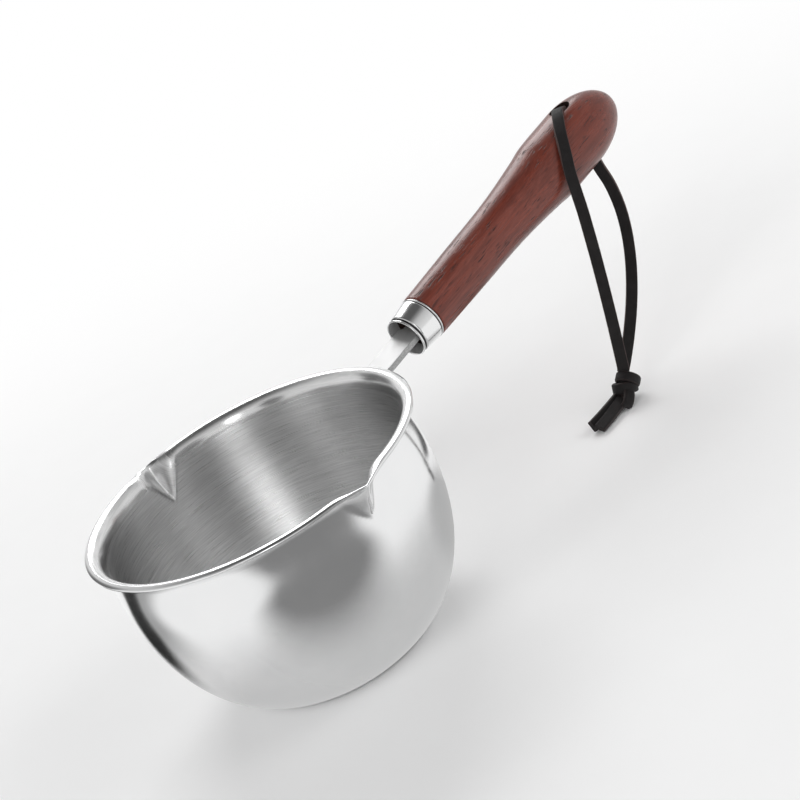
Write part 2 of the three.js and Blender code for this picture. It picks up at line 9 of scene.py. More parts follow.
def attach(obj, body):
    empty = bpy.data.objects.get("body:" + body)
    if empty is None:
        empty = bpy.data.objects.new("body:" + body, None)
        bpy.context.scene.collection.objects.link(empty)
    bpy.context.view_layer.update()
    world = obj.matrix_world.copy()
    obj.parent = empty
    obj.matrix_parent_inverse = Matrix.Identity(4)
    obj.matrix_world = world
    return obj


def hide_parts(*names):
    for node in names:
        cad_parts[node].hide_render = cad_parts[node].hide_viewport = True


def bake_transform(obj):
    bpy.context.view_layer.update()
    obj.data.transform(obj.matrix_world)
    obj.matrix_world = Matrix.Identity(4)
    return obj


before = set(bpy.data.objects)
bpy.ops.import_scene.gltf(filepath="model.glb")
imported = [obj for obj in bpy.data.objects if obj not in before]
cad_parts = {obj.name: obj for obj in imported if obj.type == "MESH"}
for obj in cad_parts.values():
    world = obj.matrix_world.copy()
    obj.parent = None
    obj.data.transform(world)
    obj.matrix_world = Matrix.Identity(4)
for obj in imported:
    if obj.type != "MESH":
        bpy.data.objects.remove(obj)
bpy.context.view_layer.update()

# Bowl
RIM_RADIUS = 0.060
BOWL_HEIGHT = 0.072
SHEET = 0.0012
BELLY_RADIUS = 0.0565
BELLY_HEIGHT = 0.0505
NECK_PULL_IN = 0.0009
BASE_RADIUS = 0.031
BASE_EASE = 0.0022
SIDE_ARC = radians(76)
FLARE_HEIGHT = 0.005
LIP_CURL = radians(112)
SPOUT_REACH = 0.0026
SPOUT_DIP = 0.0014
SPOUT_DEPTH = 0.017
SPOUT_HALF_WIDTH = 0.0083
CREASE_OUTSIDE = 0.20  # rounding of the crease as a share of the flank, at the lip
CREASE_INSIDE = 0.05
FOOT_OUTSIDE = 0.42  # share of the spout's depth over which its foot runs out
FOOT_INSIDE = 0.12
FLANK_SOFTNESS = 0.70  # share of it over which the flank runs out into the round wall
SIDE_LENGTH = 0.8  # rough length of the side's arc as a share of its two half axes
BASE_ROWS = 8
EASE_ROWS = 6
SIDE_ROWS = 34
NECK_ROWS = 14
FLARE_ROWS = 22
LIP_ROWS = 8
CROWN_ROWS = 6  # rows of the lip's polished crown, above the finely brushed inside of the flare
SPOUT_BRUSHED = 0.15  # share of the dip from which a spout is brushed like the inside
SPOUT_COLUMNS = 36  # on each side of a crease
SPOUT_EVEN = 0.3  # share of their spacing that is even, while the rest crowds at the crease
WALL_COLUMNS = 72  # between two spouts

# Handle axis, tang and ferrule
HANDLE_TILT = radians(7.7)
MOUTH_REACH = 0.0203
MOUTH_DROP = 0.0031
TANG_WIDTH = 0.0125
TANG_THICKNESS = 0.0022
TANG_BEND = 0.004
TANG_EDGE = 0.00025
TAB_LENGTH = 0.017
TAB_CORNER = 0.004
TAB_FACE = Vector((-1, 0, 0.8))
FLAT_PLACES = (0.6, 0.2, -0.2, -0.6)  # points on a bar's flat sides, as shares of the half width
SECTION_ROWS = 4  # at each corner of a bar's section
CORNER_ROWS = 8
BEND_ROWS = 12
BAR_ROWS = 10
TONGUE_WIDTH = 0.008
TONGUE_LENGTH = 0.046
SHOULDER_DEPTH = 0.0026
SHOULDER_SLOPE = 0.0014
FERRULE_LENGTH = 0.0106
FERRULE_MOUTH_RADIUS = 0.0079
FERRULE_REAR_RADIUS = 0.0089
FERRULE_BORE = 0.0070
FERRULE_RECESS = 0.0046
FERRULE_BEAD = 0.00045
FERRULE_OPENS = 0.6  # share of the bead by which the bore opens at the mouth
FERRULE_ROLL = 0.0010
FERRULE_GROOVE = 0.00065
FERRULE_REAR_ROLL = 0.00075
FERRULE_REAR_GROOVE = 0.000325
FERRULE_ROUND = 0.0008
FERRULE_REAR_ROUND = 0.0004
FERRULE_FLARE = 0.0028
FERRULE_SIDES = 128
MOUTH_ROWS = 6
ROUND_ROWS = 7
GROOVE_ROWS = 3  # rows of each rounding that lie in the dark groove
BODY_ROWS = 8

# Grip and hanging hole
GRIP_END = 0.1332
GRIP_MAX_RADIUS = 0.0129
GRIP_MID_RADIUS = 0.010
GRIP_MID_AT = 0.42
GRIP_SWELL_AT = 0.6
GRIP_FULL_FROM = 1.8  # domes before the end, where the grip is nearly at its full radius
GRIP_FULL = 0.985
GRIP_DOME = 0.024
GRIP_EDGE = 0.0005
HOLE_FROM_END = 0.0217
HOLE_RADIUS = 0.0034
HOLE_ROUNDING = 0.0022
HOLE_SIDES = 64
# The dark inside of the hole is painted shade.
HOLE_PAINTED_SHADE = 0.5  # share of the rounding that the dark inside reaches
GRIP_SIDES = 128
GRIP_EDGE_ROWS = 6
GRIP_ROWS = 70
GRIP_STEPS = 24  # points of its curve between two given ones
DOME_ROWS = 36
HOLE_ROWS = 10
CUT_PAST = 0.002  # how far a cutter stands out of the wood

# Leather lace
LACE_WIDTH = 0.0043
LACE_THICKNESS = 0.0019
LACE_CORNER = 0.00035
LACE_SLANT = 0.0238
LACE_EVEN = 0.4
LACE_WRAP = radians(94)
LACE_TURNS = (0.4, 0.97)  # shares of the wrap between which the lace turns from the wood to the front
LEG_DROP = 0.0025
LEG_SHIFT = 0.001
LEG_OFF_WOOD = Vector((-0.0013, -0.0009, 0))  # top of the front leg from where the lace leaves the wood
LEGS_MEET = Vector((0.0012, 0.0007, 0))  # from the middle of the knot
LEGS_MEET_AT = 0.72  # share of the knot's reach above its middle
LACE_FLATTENS = (0.006, 0.001)  # depths in the hole between which the lace turns flat onto the wood
KNOT_RADIUS = 0.0042
KNOT_TURN = 0.35  # share of the lace's thickness by which the turns stand out of that radius
KNOT_CORE = 0.78  # share of that radius
KNOT_CORE_MIDDLE = (-0.0002, -0.0006, 0)
KNOT_CORNER = 0.00085
KNOT_FROM_PIVOT = Vector((-0.0513, -0.0218, 0))
KNOT_SIDES = 72
CORE_ROWS = 20
CORE_SIDES = 40
TAIL_LENGTH = 0.0192
TAIL_SIDE = 0.0014
TAIL_LEAN = radians(17)
TAIL_TILT = radians(25)
TAIL_FROM = 0.3  # share of the knot's reach at which an end begins
TAIL_PAST = 0.6  # share of it beyond which the end's length counts
TAIL_RISE = 0.0014
TAIL_SAG = 0.00015
TAIL_SAG_AT = 0.45
TAIL_ROWS = 30
LYING_SHIFT = Vector((-0.0024, 0.0012, 0))
LYING_NEARER = 0.0009
LACE_LIFT = 0.0001  # clear of the wood
LACE_STEP = 0.0006  # between the rings of the lace's mesh
DULL_EDGE = 0.22  # how pale the cut edges of the knot and the ends are
ROUTE_STEPS = 12
FOLD_STEPS = 10

# The lace's way out of the hole: distances towards the side that it falls to, and depths below the bridge
OUT_OF_HOLE = ((-0.0011, 0.0080), (-0.0012, 0.0048), (-0.0003, 0.0026), (0.0014, 0.0015), (0.0034, 0.0007))

# Turns of the knot: middle (right, up, out), half width and depth, leans to front and side, share of width
KNOT_TURNS = (
    ((0.0001, 0.0011, 0.0002), 0.0037, 0.0038, radians(-16), radians(14), 0.86),
    ((-0.0009, -0.0018, 0), 0.0038, 0.0036, radians(4), radians(-12), 1.02),
)

# Fold of lace below the turns, as places (right, up, out) of the knot
KNOT_FOLD = (
    (-0.0002, -0.0012, 0.0008), (0.0001, -0.0042, 0.0043), (-0.0004, -0.0070, 0.0058),
    (-0.0010, -0.0085, 0.0052), (-0.0011, -0.0078, 0.0034), (-0.0009, -0.0052, 0.0020),
)
FOLD_INSIDE = (-0.0004, -0.0054, 0.0034)
FOLD_WIDTH = 1.02  # share of the lace's width
FOLD_NARROWS = 0.1  # share by which it narrows to its end

GAP = 0.0003
BELOW = 0.0003
TINY = 0.00002
NUDGE = 0.0001
SMALL_TURN = 0.01
SHARP_ANGLE = radians(40)
GRIP_SHARP_ANGLE = radians(32)

# Colours
POLISHED = ((0.80, 0.805, 0.81, 1), (0.86, 0.86, 0.86, 1))
# Painted shade in the grooves of the ferrule
GROOVE_PAINTED_SHADE = ((0.012, 0.012, 0.013, 1), (0.06, 0.06, 0.062, 1))
WOOD_BODY = ((0.112, 0.018, 0.009, 1), (0.205, 0.046, 0.028, 1))
WOOD_STREAK = (0.066, 0.014, 0.009, 1)
WOOD_FIBRE = (0.30, 0.085, 0.06, 1)
WOOD_PORE = (0.020, 0.007, 0.006, 1)
# Painted shade inside the hole, in the slot and on the spigot under the ferrule
PAINTED_SHADE_WOOD = ((0.004, 0.002, 0.002, 1), (0.018, 0.008, 0.006, 1))
LEATHER_FACE = ((0.0045, 0.0036, 0.0036, 1), (0.012, 0.010, 0.010, 1))
LEATHER_WORN = (0.018, 0.0155, 0.016, 1)
LEATHER_CUT = ((0.040, 0.024, 0.022, 1), (0.105, 0.074, 0.070, 1))
NOISE_RANGE = (0.3, 0.7)  # range that most of a noise's values lie in

# Camera
CAMERA_PLACE = Vector((-0.2915, -0.5393, 0.3217))
CAMERA_FORWARD = Vector((0.5103, 0.7697, -0.3835)).normalized()
CAMERA_UP = Vector((0.5849, 0.0162, 0.8109))
CAMERA_LENS = 91.58
CAMERA_SENSOR = 36

# Distances from the pot over which the floor turns to plain white
WHITE_SEEN = (0.25, 0.6)
WHITE_MIRRORED = (0.07, 0.16)
FLOOR_HALF = 4

# Lamps: name, place, size, power and whether metal mirrors it
LAMP_TARGET = Vector((0.07, 0, 0.05))
LAMPS = (
    ("window_behind", (0.80, 0.95, 1.05), (0.95, 0.8), 11, True),
    ("fill_left", (-1.1, -0.35, 0.85), (0.9, 0.9), 7, False),
    ("fill_right", (0.75, -0.9, 0.8), (0.8, 0.8), 4, False),
)

# Cards: name, middle, half width, half height, shade and the share of the half size where the edge fades
CARDS = (
    ("grey_card_under", (0.028, 0, 0.0008), (0.118, 0, 0), (0, 0.12, 0), 0.61, 0.45),
    ("grey_card_front", (-0.077, -0.25, 0.001), (0.156, 0, 0), (0.02, 0.220, 0), 0.245, 0.68),
    ("grey_card_far_front", (0.0, -0.75, 0.2), (0.26, 0, 0), (0, 0, 0.45), 0.2, 0.45),
    ("grey_card_left", (-0.85, -0.3, 0.4), (0.07, -0.19, 0), (0, 0, 0.4), 0.15, 0.45),
    ("grey_card_behind", (-0.28, 1.1, 0.25), (0.5, 0, 0), (0, 0, 0.75), 0.15, 0.45),
    ("bright_card", (-0.53, -0.64, 0.5), (0.085, -0.07, 0), (0, 0, 0.33), 3.0, 0.45),
    ("grey_card_right", (0.085, -0.02, 0.0009), (0.055, 0, 0), (0, 0.055, 0), 0.5, 0.45),
    ("grey_card_tail", (-0.12, 0.12, 0.0011), (0.06, 0.02, 0), (-0.05, 0.12, 0), 0.4, 0.2),
    ("dark_card_left", (-0.091, 0.143, 0.0012), (0.034, 0.012, 0), (-0.05, 0.12, 0), 0.03, 0.6),
    ("dark_card_right", (0.16, 0.03, 0.0012), (0.02, 0, 0), (0, 0.05, 0), 0.05, 0.45),
)

# Shades of the room, from the horizon to overhead
ROOM_HEIGHTS = (-0.1, 1)
ROOM_SHADES = ((0.09, 1.0), (0.16, 0.79), (0.35, 0.75), (0.72, 0.55), (0.95, 0.10))


def steps(count):
    return [i / count for i in range(count + 1)]


# Turns from 0 to a right angle
def quarter(count):
    return [pi / 2 * u for u in steps(count)]


def ease(x):
    return 0.5 - 0.5 * cos(pi * x)


def smoothstep(x, low, high):
    share = min(1, max(0, (x - low) / (high - low)))
    return share * share * (3 - 2 * share)


def bezier(points, u):
    while len(points) > 1:
        points = [a.lerp(b, u) for a, b in zip(points, points[1:])]
    return points[0]


# Smooth curve through the points, even for uneven spacing.
def smooth_route(points, per_span):
    ends = [points[0] * 2 - points[1], *points, points[-1] * 2 - points[-2]]
    route = []
    for a, b, c, d in zip(ends, ends[1:], ends[2:], ends[3:]):
        ta = 0
        tb = ta + sqrt((b - a).length)
        tc = tb + sqrt((c - b).length)
        td = tc + sqrt((d - c).length)
        for i in range(per_span):
            t = tb + (tc - tb) * i / per_span
            ab = a.lerp(b, (t - ta) / (tb - ta))
            bc = b.lerp(c, (t - tb) / (tc - tb))
            cd = c.lerp(d, (t - tc) / (td - tc))
            abc = ab.lerp(bc, (t - ta) / (tc - ta))
            bcd = bc.lerp(cd, (t - tb) / (td - tb))
            route.append(abc.lerp(bcd, (t - tb) / (tc - tb)))
    return [*route, points[-1]]


def route_length(route):
    return sum((b - a).length for a, b in zip(route, route[1:]))


# Points at even distances along a route
def evenly(route, spacing):
    total = route_length(route)
    count = max(2, round(total / spacing))
    even = [route[0]]
    walked = 0
    for a, b in zip(route, route[1:]):
        stride = (b - a).length
        while len(even) < count and walked + stride >= total * len(even) / count:
            even.append(a.lerp(b, (total * len(even) / count - walked) / stride))
        walked += stride
    return [*even, route[-1]]


def mesh_piece(name, points, faces, materials, zones=None, edge=None):
    mesh = bpy.data.meshes.new(name)
    mesh.from_pydata(points, [], faces)
    mesh.update()
    for material in materials:
        mesh.materials.append(material)
    mesh.polygons.foreach_set("use_smooth", [True] * len(faces))
    if zones:
        mesh.polygons.foreach_set("material_index", zones)
    if edge:
        mesh.attributes.new("cut_edge", "FLOAT", "POINT").data.foreach_set("value", edge)
    mesh.set_sharp_from_angle(angle=SHARP_ANGLE)
    piece = bpy.data.objects.new(name, mesh)
    bpy.context.scene.collection.objects.link(piece)
    return piece


# Sets an input of a node, or links it where the value comes from another node
def feed(tree, node, key, value):
    if isinstance(value, bpy.types.NodeSocket):
        tree.links.new(value, node.inputs[key])
    else:
        node.inputs[key].default_value = value


def add_node(tree, kind, inputs=None, **settings):
    node = tree.nodes.new(kind)
    for key, value in settings.items():
        setattr(node, key, value)
    for key, value in (inputs or {}).items():
        feed(tree, node, key, value)
    return node


def calc(tree, operation, a, b=0.0):
    return add_node(tree, "ShaderNodeMath", {0: a, 1: b}, operation=operation).outputs[0]


def span(tree, value, low, high, to_low, to_high, soft=False):
    inputs = {"Value": value, "From Min": low, "From Max": high, "To Min": to_low, "To Max": to_high}
    kind = "SMOOTHSTEP" if soft else "LINEAR"
    return add_node(tree, "ShaderNodeMapRange", inputs, interpolation_type=kind).outputs[0]


def spread(tree, value, to_low, to_high):
    return span(tree, value, *NOISE_RANGE, to_low, to_high)


def grey(shade):
    return (shade, shade, shade, 1)


def blend_colours(tree, factor, a, b):
    inputs = {"Factor": factor, 6: a, 7: b}
    return add_node(tree, "ShaderNodeMix", inputs, data_type="RGBA").outputs[2]


def noise(tree, place, detail=3.0, roughness=0.5, scale=1.0, distortion=0.0):
    inputs = {
        "Vector": place, "Scale": scale, "Detail": detail, "Roughness": roughness, "Distortion": distortion,
    }
    return add_node(tree, "ShaderNodeTexNoise", inputs).outputs[0]


def new_material(name):
    material = bpy.data.materials.new(name)
    material.use_nodes = True
    tree = material.node_tree
    return material, tree, tree.nodes["Principled BSDF"]


def object_place(tree):
    return add_node(tree, "ShaderNodeTexCoord").outputs["Object"]


def length_of(tree, place):
    return add_node(tree, "ShaderNodeVectorMath", {0: place}, operation="LENGTH").outputs["Value"]


def bump(tree, shader, height, distance, strength):
    inputs = {"Strength": strength, "Distance": distance, "Height": height}
    feed(tree, shader, "Normal", add_node(tree, "ShaderNodeBump", inputs).outputs[0])


# Mirror-polished steel with faint clouds of wear in its gloss
def polished_steel():
    material, tree, shader = new_material("polished_steel")
    place = object_place(tree)
    clouds = noise(tree, place, scale=90)
    haze = noise(tree, place, scale=1400, detail=2)
    feed(tree, shader, "Metallic", 1)
    gloss = calc(tree, "ADD", spread(tree, clouds, 0.10, 0.15), spread(tree, haze, 0, 0.03))
    feed(tree, shader, "Roughness", gloss)
    feed(tree, shader, "Base Color", blend_colours(tree, clouds, *POLISHED))
    bump(tree, shader, haze, 0.00001, 0.15)
    return material


# Steel brushed round and round: fine lines that follow the bowl's circles
def brushed_steel(name, roughness, dark, bright):
    material, tree, shader = new_material(name)
    place = object_place(tree)
    axes = add_node(tree, "ShaderNodeSeparateXYZ", {0: place}).outputs
    flat = add_node(tree, "ShaderNodeCombineXYZ", {0: axes[0], 1: axes[1]}).outputs[0]
    radius = length_of(tree, flat)
    safe = calc(tree, "MAXIMUM", radius, 0.001)
    slope = calc(tree, "SUBTRACT", axes[2], radius)
    around = [calc(tree, "DIVIDE", axes[i], safe) for i in (0, 1)]

    def lines(length, fineness, detail):
        inputs = {
            0: calc(tree, "MULTIPLY", around[0], length),
            1: calc(tree, "MULTIPLY", around[1], length),
            2: calc(tree, "MULTIPLY", slope, fineness),
        }
        return noise(tree, add_node(tree, "ShaderNodeCombineXYZ", inputs).outputs[0], detail=detail)

    fine = lines(5, 4200, 2)
    coarse = lines(3, 2200, 2)
    both = calc(tree, "ADD", calc(tree, "MULTIPLY", fine, 0.65), calc(tree, "MULTIPLY", coarse, 0.35))
    feed(tree, shader, "Metallic", 1)
    feed(tree, shader, "Anisotropic", 0.75)
    feed(tree, shader, "Anisotropic Rotation", 0.25)
    tangent = add_node(tree, "ShaderNodeTangent", direction_type="RADIAL", axis="Z")
    feed(tree, shader, "Tangent", tangent.outputs[0])
    feed(tree, shader, "Roughness", spread(tree, both, roughness, roughness * 1.65))
    colour = blend_colours(tree, span(tree, both, 0.32, 0.68, 0, 1), grey(dark), grey(bright))
    feed(tree, shader, "Base Color", colour)
    bump(tree, shader, both, 0.00003, 0.4)
    return material


# Flat bar with a satin face and rough sheared edges
def bare_steel():
    material, tree, shader = new_material("bare_steel")
    place = object_place(tree)
    along = add_node(tree, "ShaderNodeMapping", {"Vector": place, "Scale": (150, 2600, 900)}).outputs[0]
    drawn = noise(tree, along, detail=3)
    grit = noise(tree, place, scale=2600, detail=4, roughness=0.7)
    sheared = add_node(tree, "ShaderNodeAttribute", attribute_name="cut_edge").outputs["Fac"]
    feed(tree, shader, "Metallic", 1)
    face = spread(tree, drawn, 0.58, 0.70)
    gloss = calc(tree, "ADD", face, calc(tree, "MULTIPLY", sheared, -0.08))
    feed(tree, shader, "Roughness", gloss)
    plain = blend_colours(tree, drawn, grey(0.64), grey(0.74))
    rough = blend_colours(tree, span(tree, grit, 0.35, 0.65, 0, 1), grey(0.28), grey(0.62))
    feed(tree, shader, "Base Color", blend_colours(tree, sheared, plain, rough))
    height = calc(tree, "ADD", calc(tree, "MULTIPLY", drawn, 0.15), calc(tree, "MULTIPLY", grit, sheared))
    bump(tree, shader, height, 0.0002, 0.6)
    return material


# Unpolished inside of the ferrule
def matt_bore():
    material, tree, shader = new_material("matt_bore")
    scuffs = noise(tree, object_place(tree), scale=900, detail=4)
    feed(tree, shader, "Metallic", 0.35)
    colour = blend_colours(tree, scuffs, grey(0.40), grey(0.62))
    feed(tree, shader, "Base Color", colour)
    feed(tree, shader, "Roughness", spread(tree, scuffs, 0.45, 0.65))
    bump(tree, shader, scuffs, 0.00005, 0.4)
    return material


# Painted shade: near-black colour in the grooves of the ferrule, where shade falls
def groove_painted_shade():
    material, tree, shader = new_material("groove_painted_shade")
    specks = noise(tree, object_place(tree), scale=2200, detail=3)
    feed(tree, shader, "Metallic", 0.6)
    feed(tree, shader, "Base Color", blend_colours(tree, specks, *GROOVE_PAINTED_SHADE))
    feed(tree, shader, "Roughness", spread(tree, specks, 0.4, 0.6))
    return material


# Oiled rosewood: streaks along the grip, dark pores and a satin sheen
def rosewood():
    material, tree, shader = new_material("rosewood")
    turned = add_node(tree, "ShaderNodeMapping", {
        "Vector": object_place(tree), "Rotation": (0, HANDLE_TILT, 0),
    }).outputs[0]

    def grain(along, across, detail, roughness=0.55, distortion=0.0):
        inputs = {"Vector": turned, "Scale": (along, across, across)}
        stretched = add_node(tree, "ShaderNodeMapping", inputs).outputs[0]
        return noise(tree, stretched, detail, roughness, 1.0, distortion)

    broad = grain(14, 110, 2, distortion=0.4)
    streaks = grain(38, 620, 4, 0.62)
    fibres = grain(110, 2600, 3, 0.6)
    dashes = grain(210, 2100, 1, 0.4)
    patches = grain(60, 300, 2)
    open_grain = span(tree, patches, 0.42, 0.60, 0, 1)
    pores = calc(tree, "MULTIPLY", span(tree, dashes, 0.60, 0.70, 0, 1), open_grain)
    body = blend_colours(tree, spread(tree, broad, 0, 1), *WOOD_BODY)
    streaked = blend_colours(tree, span(tree, streaks, 0.36, 0.62, 0.62, 0), body, WOOD_STREAK)
    lit = blend_colours(tree, span(tree, fibres, 0.45, 0.75, 0, 0.35), streaked, WOOD_FIBRE)
    feed(tree, shader, "Base Color", blend_colours(tree, pores, lit, WOOD_PORE))
    gloss = calc(tree, "ADD", spread(tree, streaks, 0.34, 0.25), calc(tree, "MULTIPLY", pores, 0.25))
    feed(tree, shader, "Roughness", gloss)
    feed(tree, shader, "Specular IOR Level", 0.44)
    height = calc(tree, "SUBTRACT", calc(tree, "MULTIPLY", fibres, 0.25), pores)
    bump(tree, shader, height, 0.00012, 0.6)
    return material


# Painted shade: sawn wood coloured near-black inside the hole, in the tang's slot and on the spigot under the
# ferrule
def painted_shade_wood():
    material, tree, shader = new_material("painted_shade_wood")
    grain = noise(tree, object_place(tree), scale=1800, detail=4)
    feed(tree, shader, "Base Color", blend_colours(tree, grain, *PAINTED_SHADE_WOOD))
    feed(tree, shader, "Roughness", spread(tree, grain, 0.7, 0.9))
    feed(tree, shader, "Specular IOR Level", 0.1)
    bump(tree, shader, grain, 0.0001, 0.5)
    return material


# Matt black-brown leather with a fine grain and paler cut edges
def leather():
    material, tree, shader = new_material("leather")
    place = object_place(tree)
    grain = noise(tree, place, scale=2400, detail=4, roughness=0.65)
    worn = noise(tree, place, scale=260, detail=2)
    cut = add_node(tree, "ShaderNodeAttribute", attribute_name="cut_edge").outputs["Fac"]
    face = blend_colours(tree, span(tree, grain, 0.35, 0.7, 0, 1), *LEATHER_FACE)
    faded = blend_colours(tree, span(tree, worn, 0.45, 0.75, 0, 0.5), face, LEATHER_WORN)
    raw = blend_colours(tree, grain, *LEATHER_CUT)
    feed(tree, shader, "Base Color", blend_colours(tree, cut, faded, raw))
    feed(tree, shader, "Roughness", spread(tree, grain, 0.52, 0.72))
    feed(tree, shader, "Specular IOR Level", 0.26)
    bump(tree, shader, grain, 0.00012, 0.5)
    return material


# Middle of the bowl's sheet from the axis at the base to the edge of the lip, as points (radius, height)
def sheet_line():
    half = SHEET / 2
    neck_height = BOWL_HEIGHT - half - FLARE_HEIGHT
    belly = BELLY_RADIUS - half
    neck = belly - NECK_PULL_IN
    arc_wide = (belly - BASE_RADIUS) / (1 - cos(SIDE_ARC))
    arc_high = (BELLY_HEIGHT - half) / sin(SIDE_ARC)

    def side(turn):
        return Vector((belly - arc_wide * (1 - cos(turn)), BELLY_HEIGHT - arc_high * sin(turn)))

    corner = side(SIDE_ARC)
    tangent = (side(SIDE_ARC - SMALL_TURN) - corner).normalized()
    soft = [Vector((corner.x - BASE_EASE, half)), corner, corner + tangent * BASE_EASE]
    ease_arc = SIDE_ARC * (1 - BASE_EASE / (SIDE_LENGTH * (arc_wide + arc_high)))
    flare_wide = (RIM_RADIUS - half - neck) / (1 - cos(LIP_CURL))
    line = [Vector((soft[0].x * u, half)) for u in steps(BASE_ROWS)[:-1]]
    line += [bezier(soft, u) for u in steps(EASE_ROWS)]
    line += [side(ease_arc * (1 - u)) for u in steps(SIDE_ROWS)[1:]]
    for u in steps(NECK_ROWS)[1:]:
        height = BELLY_HEIGHT + (neck_height - BELLY_HEIGHT) * u
        line.append(Vector((belly - NECK_PULL_IN * ease(u), height)))
    for u in steps(FLARE_ROWS)[1:]:
        turn = LIP_CURL * u
        line.append(Vector((neck + flare_wide * (1 - cos(turn)), neck_height + FLARE_HEIGHT * sin(turn))))
    return line


def offset_line(line, distance):
    moved = []
    for i, point in enumerate(line):
        along = (line[min(i + 1, len(line) - 1)] - line[max(i - 1, 0)]).normalized()
        moved.append(point + Vector((along.y, -along.x)) * distance)
    moved[0].x = 0
    return moved


# How much of the spout is left at a share of the flank's width: near 1 at the crease, 0 at the round lip
def flank(x, crease):
    inward = 1 - hypot(x, crease)
    if inward > FLANK_SOFTNESS:
        return inward
    return max(0, inward + FLANK_SOFTNESS) ** 2 / (4 * FLANK_SOFTNESS)


# The sheet's line at an angle from a spout's crease, which is rounded as widely at the foot as at the lip
def spout_line(line, angle, crease, foot_ease):
    foot_height = BOWL_HEIGHT - SPOUT_DEPTH
    first = next(i for i, point in enumerate(line) if point.y > foot_height)
    below = line[first - 1]
    foot = below.lerp(line[first], (foot_height - below.y) / (line[first].y - below.y))
    tip = Vector((RIM_RADIUS + SPOUT_REACH - SHEET / 2, BOWL_HEIGHT - SHEET / 2 - SPOUT_DIP))
    total = (line[first] - foot).length + route_length(line[first:])
    walked = 0
    before = foot
    bent = line[:first]
    for point in line[first:]:
        walked += (point - before).length
        before = point
        share = walked / total
        across = abs(angle) * RIM_RADIUS / (SPOUT_HALF_WIDTH * share)
        left = flank(across, crease / share) * smoothstep(share, 0, foot_ease)
        bent.append(point.lerp(foot.lerp(tip, share), left))
    return bent


# Angles around the bowl, close together at the creases, with the sheet's line for its outside and inside
def bowl_columns(line):
    reach = SPOUT_HALF_WIDTH / RIM_RADIUS * (1 + FLANK_SOFTNESS)
    columns = []
    for middle in (pi / 2, -pi / 2):
        for i in range(-SPOUT_COLUMNS, SPOUT_COLUMNS):
            u = i / SPOUT_COLUMNS
            angle = reach * (SPOUT_EVEN * u + (1 - SPOUT_EVEN) * u ** 3)
            outer = spout_line(line, angle, CREASE_OUTSIDE, FOOT_OUTSIDE)
            inner = spout_line(line, angle, CREASE_INSIDE, FOOT_INSIDE)
            columns.append((middle + angle, outer, inner))
        for i in range(WALL_COLUMNS):
            columns.append((middle + reach + (pi - 2 * reach) * i / WALL_COLUMNS, line, line))
    return columns


# Outside, rounded edge and inside of the sheet
def sheet_profile(outer_line, inner_line):
    outside = offset_line(outer_line, SHEET / 2)
    inside = offset_line(inner_line, -SHEET / 2)
    middle = outside[-1].lerp(inside[-1], 0.5)
    outward = outside[-1] - middle
    along = Vector((-outward.y, outward.x))
    edge = [middle + outward * cos(pi * u) + along * sin(pi * u) for u in steps(LIP_ROWS)[1:-1]]
    return [*outside, *edge, *reversed(inside)]


# The outside and the crown of the lip are polished, the inside is brushed and its flare finely brushed.
def make_bowl(polished, brushed, fine):
    line = sheet_line()
    columns = bowl_columns(line)
    profiles = [sheet_profile(outer, inner) for _, outer, inner in columns]
    rows = len(profiles[0])
    count = len(columns)
    points = [(0, 0, profiles[0][0].y), (0, 0, profiles[0][-1].y)]
    for i in range(1, rows - 1):
        for (angle, _, _), profile in zip(columns, profiles):
            points.append((profile[i].x * cos(angle), profile[i].x * sin(angle), profile[i].y))
    crown_to = rows - len(line) + CROWN_ROWS
    flare_to = rows - len(line) + FLARE_ROWS
    faces = []
    zones = []
    last = 2 + (rows - 3) * count
    for j in range(count):
        k = (j + 1) % count
        faces += [(0, 2 + k, 2 + j), (1, last + j, last + k)]
        zones += [0, 1]
        in_spout = line[-1].y - columns[j][1][-1].y > SPOUT_DIP * SPOUT_BRUSHED
        inside_from = crown_to if in_spout else flare_to
        for i in range(rows - 3):
            low = 2 + i * count
            high = low + count
            faces.append((low + j, low + k, high + k, high + j))
            zones.append(1 if i + 1 >= inside_from else 2 if i + 1 >= crown_to else 0)
    bowl = mesh_piece("bowl_shell", points, faces, [polished, brushed, fine], zones)
    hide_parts("bowl")
    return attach(bowl, "pot")


# Handle axis in the frame of the bowl
mouth = Vector((RIM_RADIUS + MOUTH_REACH, 0, BOWL_HEIGHT - MOUTH_DROP))
handle_along = Vector((cos(HANDLE_TILT), 0, sin(HANDLE_TILT)))
handle_up = Vector((-sin(HANDLE_TILT), 0, cos(HANDLE_TILT)))
grip_start = FERRULE_LENGTH + GAP
hole_along = GRIP_END - HOLE_FROM_END


def on_handle(along, up, side):
    return mouth + handle_along * along + handle_up * up + Vector((0, side, 0))


# Round body from points (distance along, radius) about an axis: a ring, or a body with a cap at each end
def turned_mesh(outline, middle, along, across, segments, ring=False):
    third = along.cross(across)
    points = []
    faces = []
    for distance, radius in outline:
        for j in range(segments):
            turn = 2 * pi * j / segments
            out = across * cos(turn) + third * sin(turn)
            points.append(middle + along * distance + out * radius)
    spans = len(outline) if ring else len(outline) - 1
    for i in range(spans):
        low = i * segments
        high = (i + 1) % len(outline) * segments
        for j in range(segments):
            k = (j + 1) % segments
            faces.append((low + j, low + k, high + k, high + j))
    if not ring:
        last = (len(outline) - 1) * segments
        faces.append(tuple(reversed(range(segments))))
        faces.append(tuple(range(last, last + segments)))
    return points, faces


# Half-round bead on a ferrule, from one place along it to another
def bead(start, end, radius, height, count=8):
    middle = (start + end) / 2
    half = (end - start) / 2
    return [(middle - half * cos(pi * u), radius + height * sin(pi * u)) for u in steps(count)]
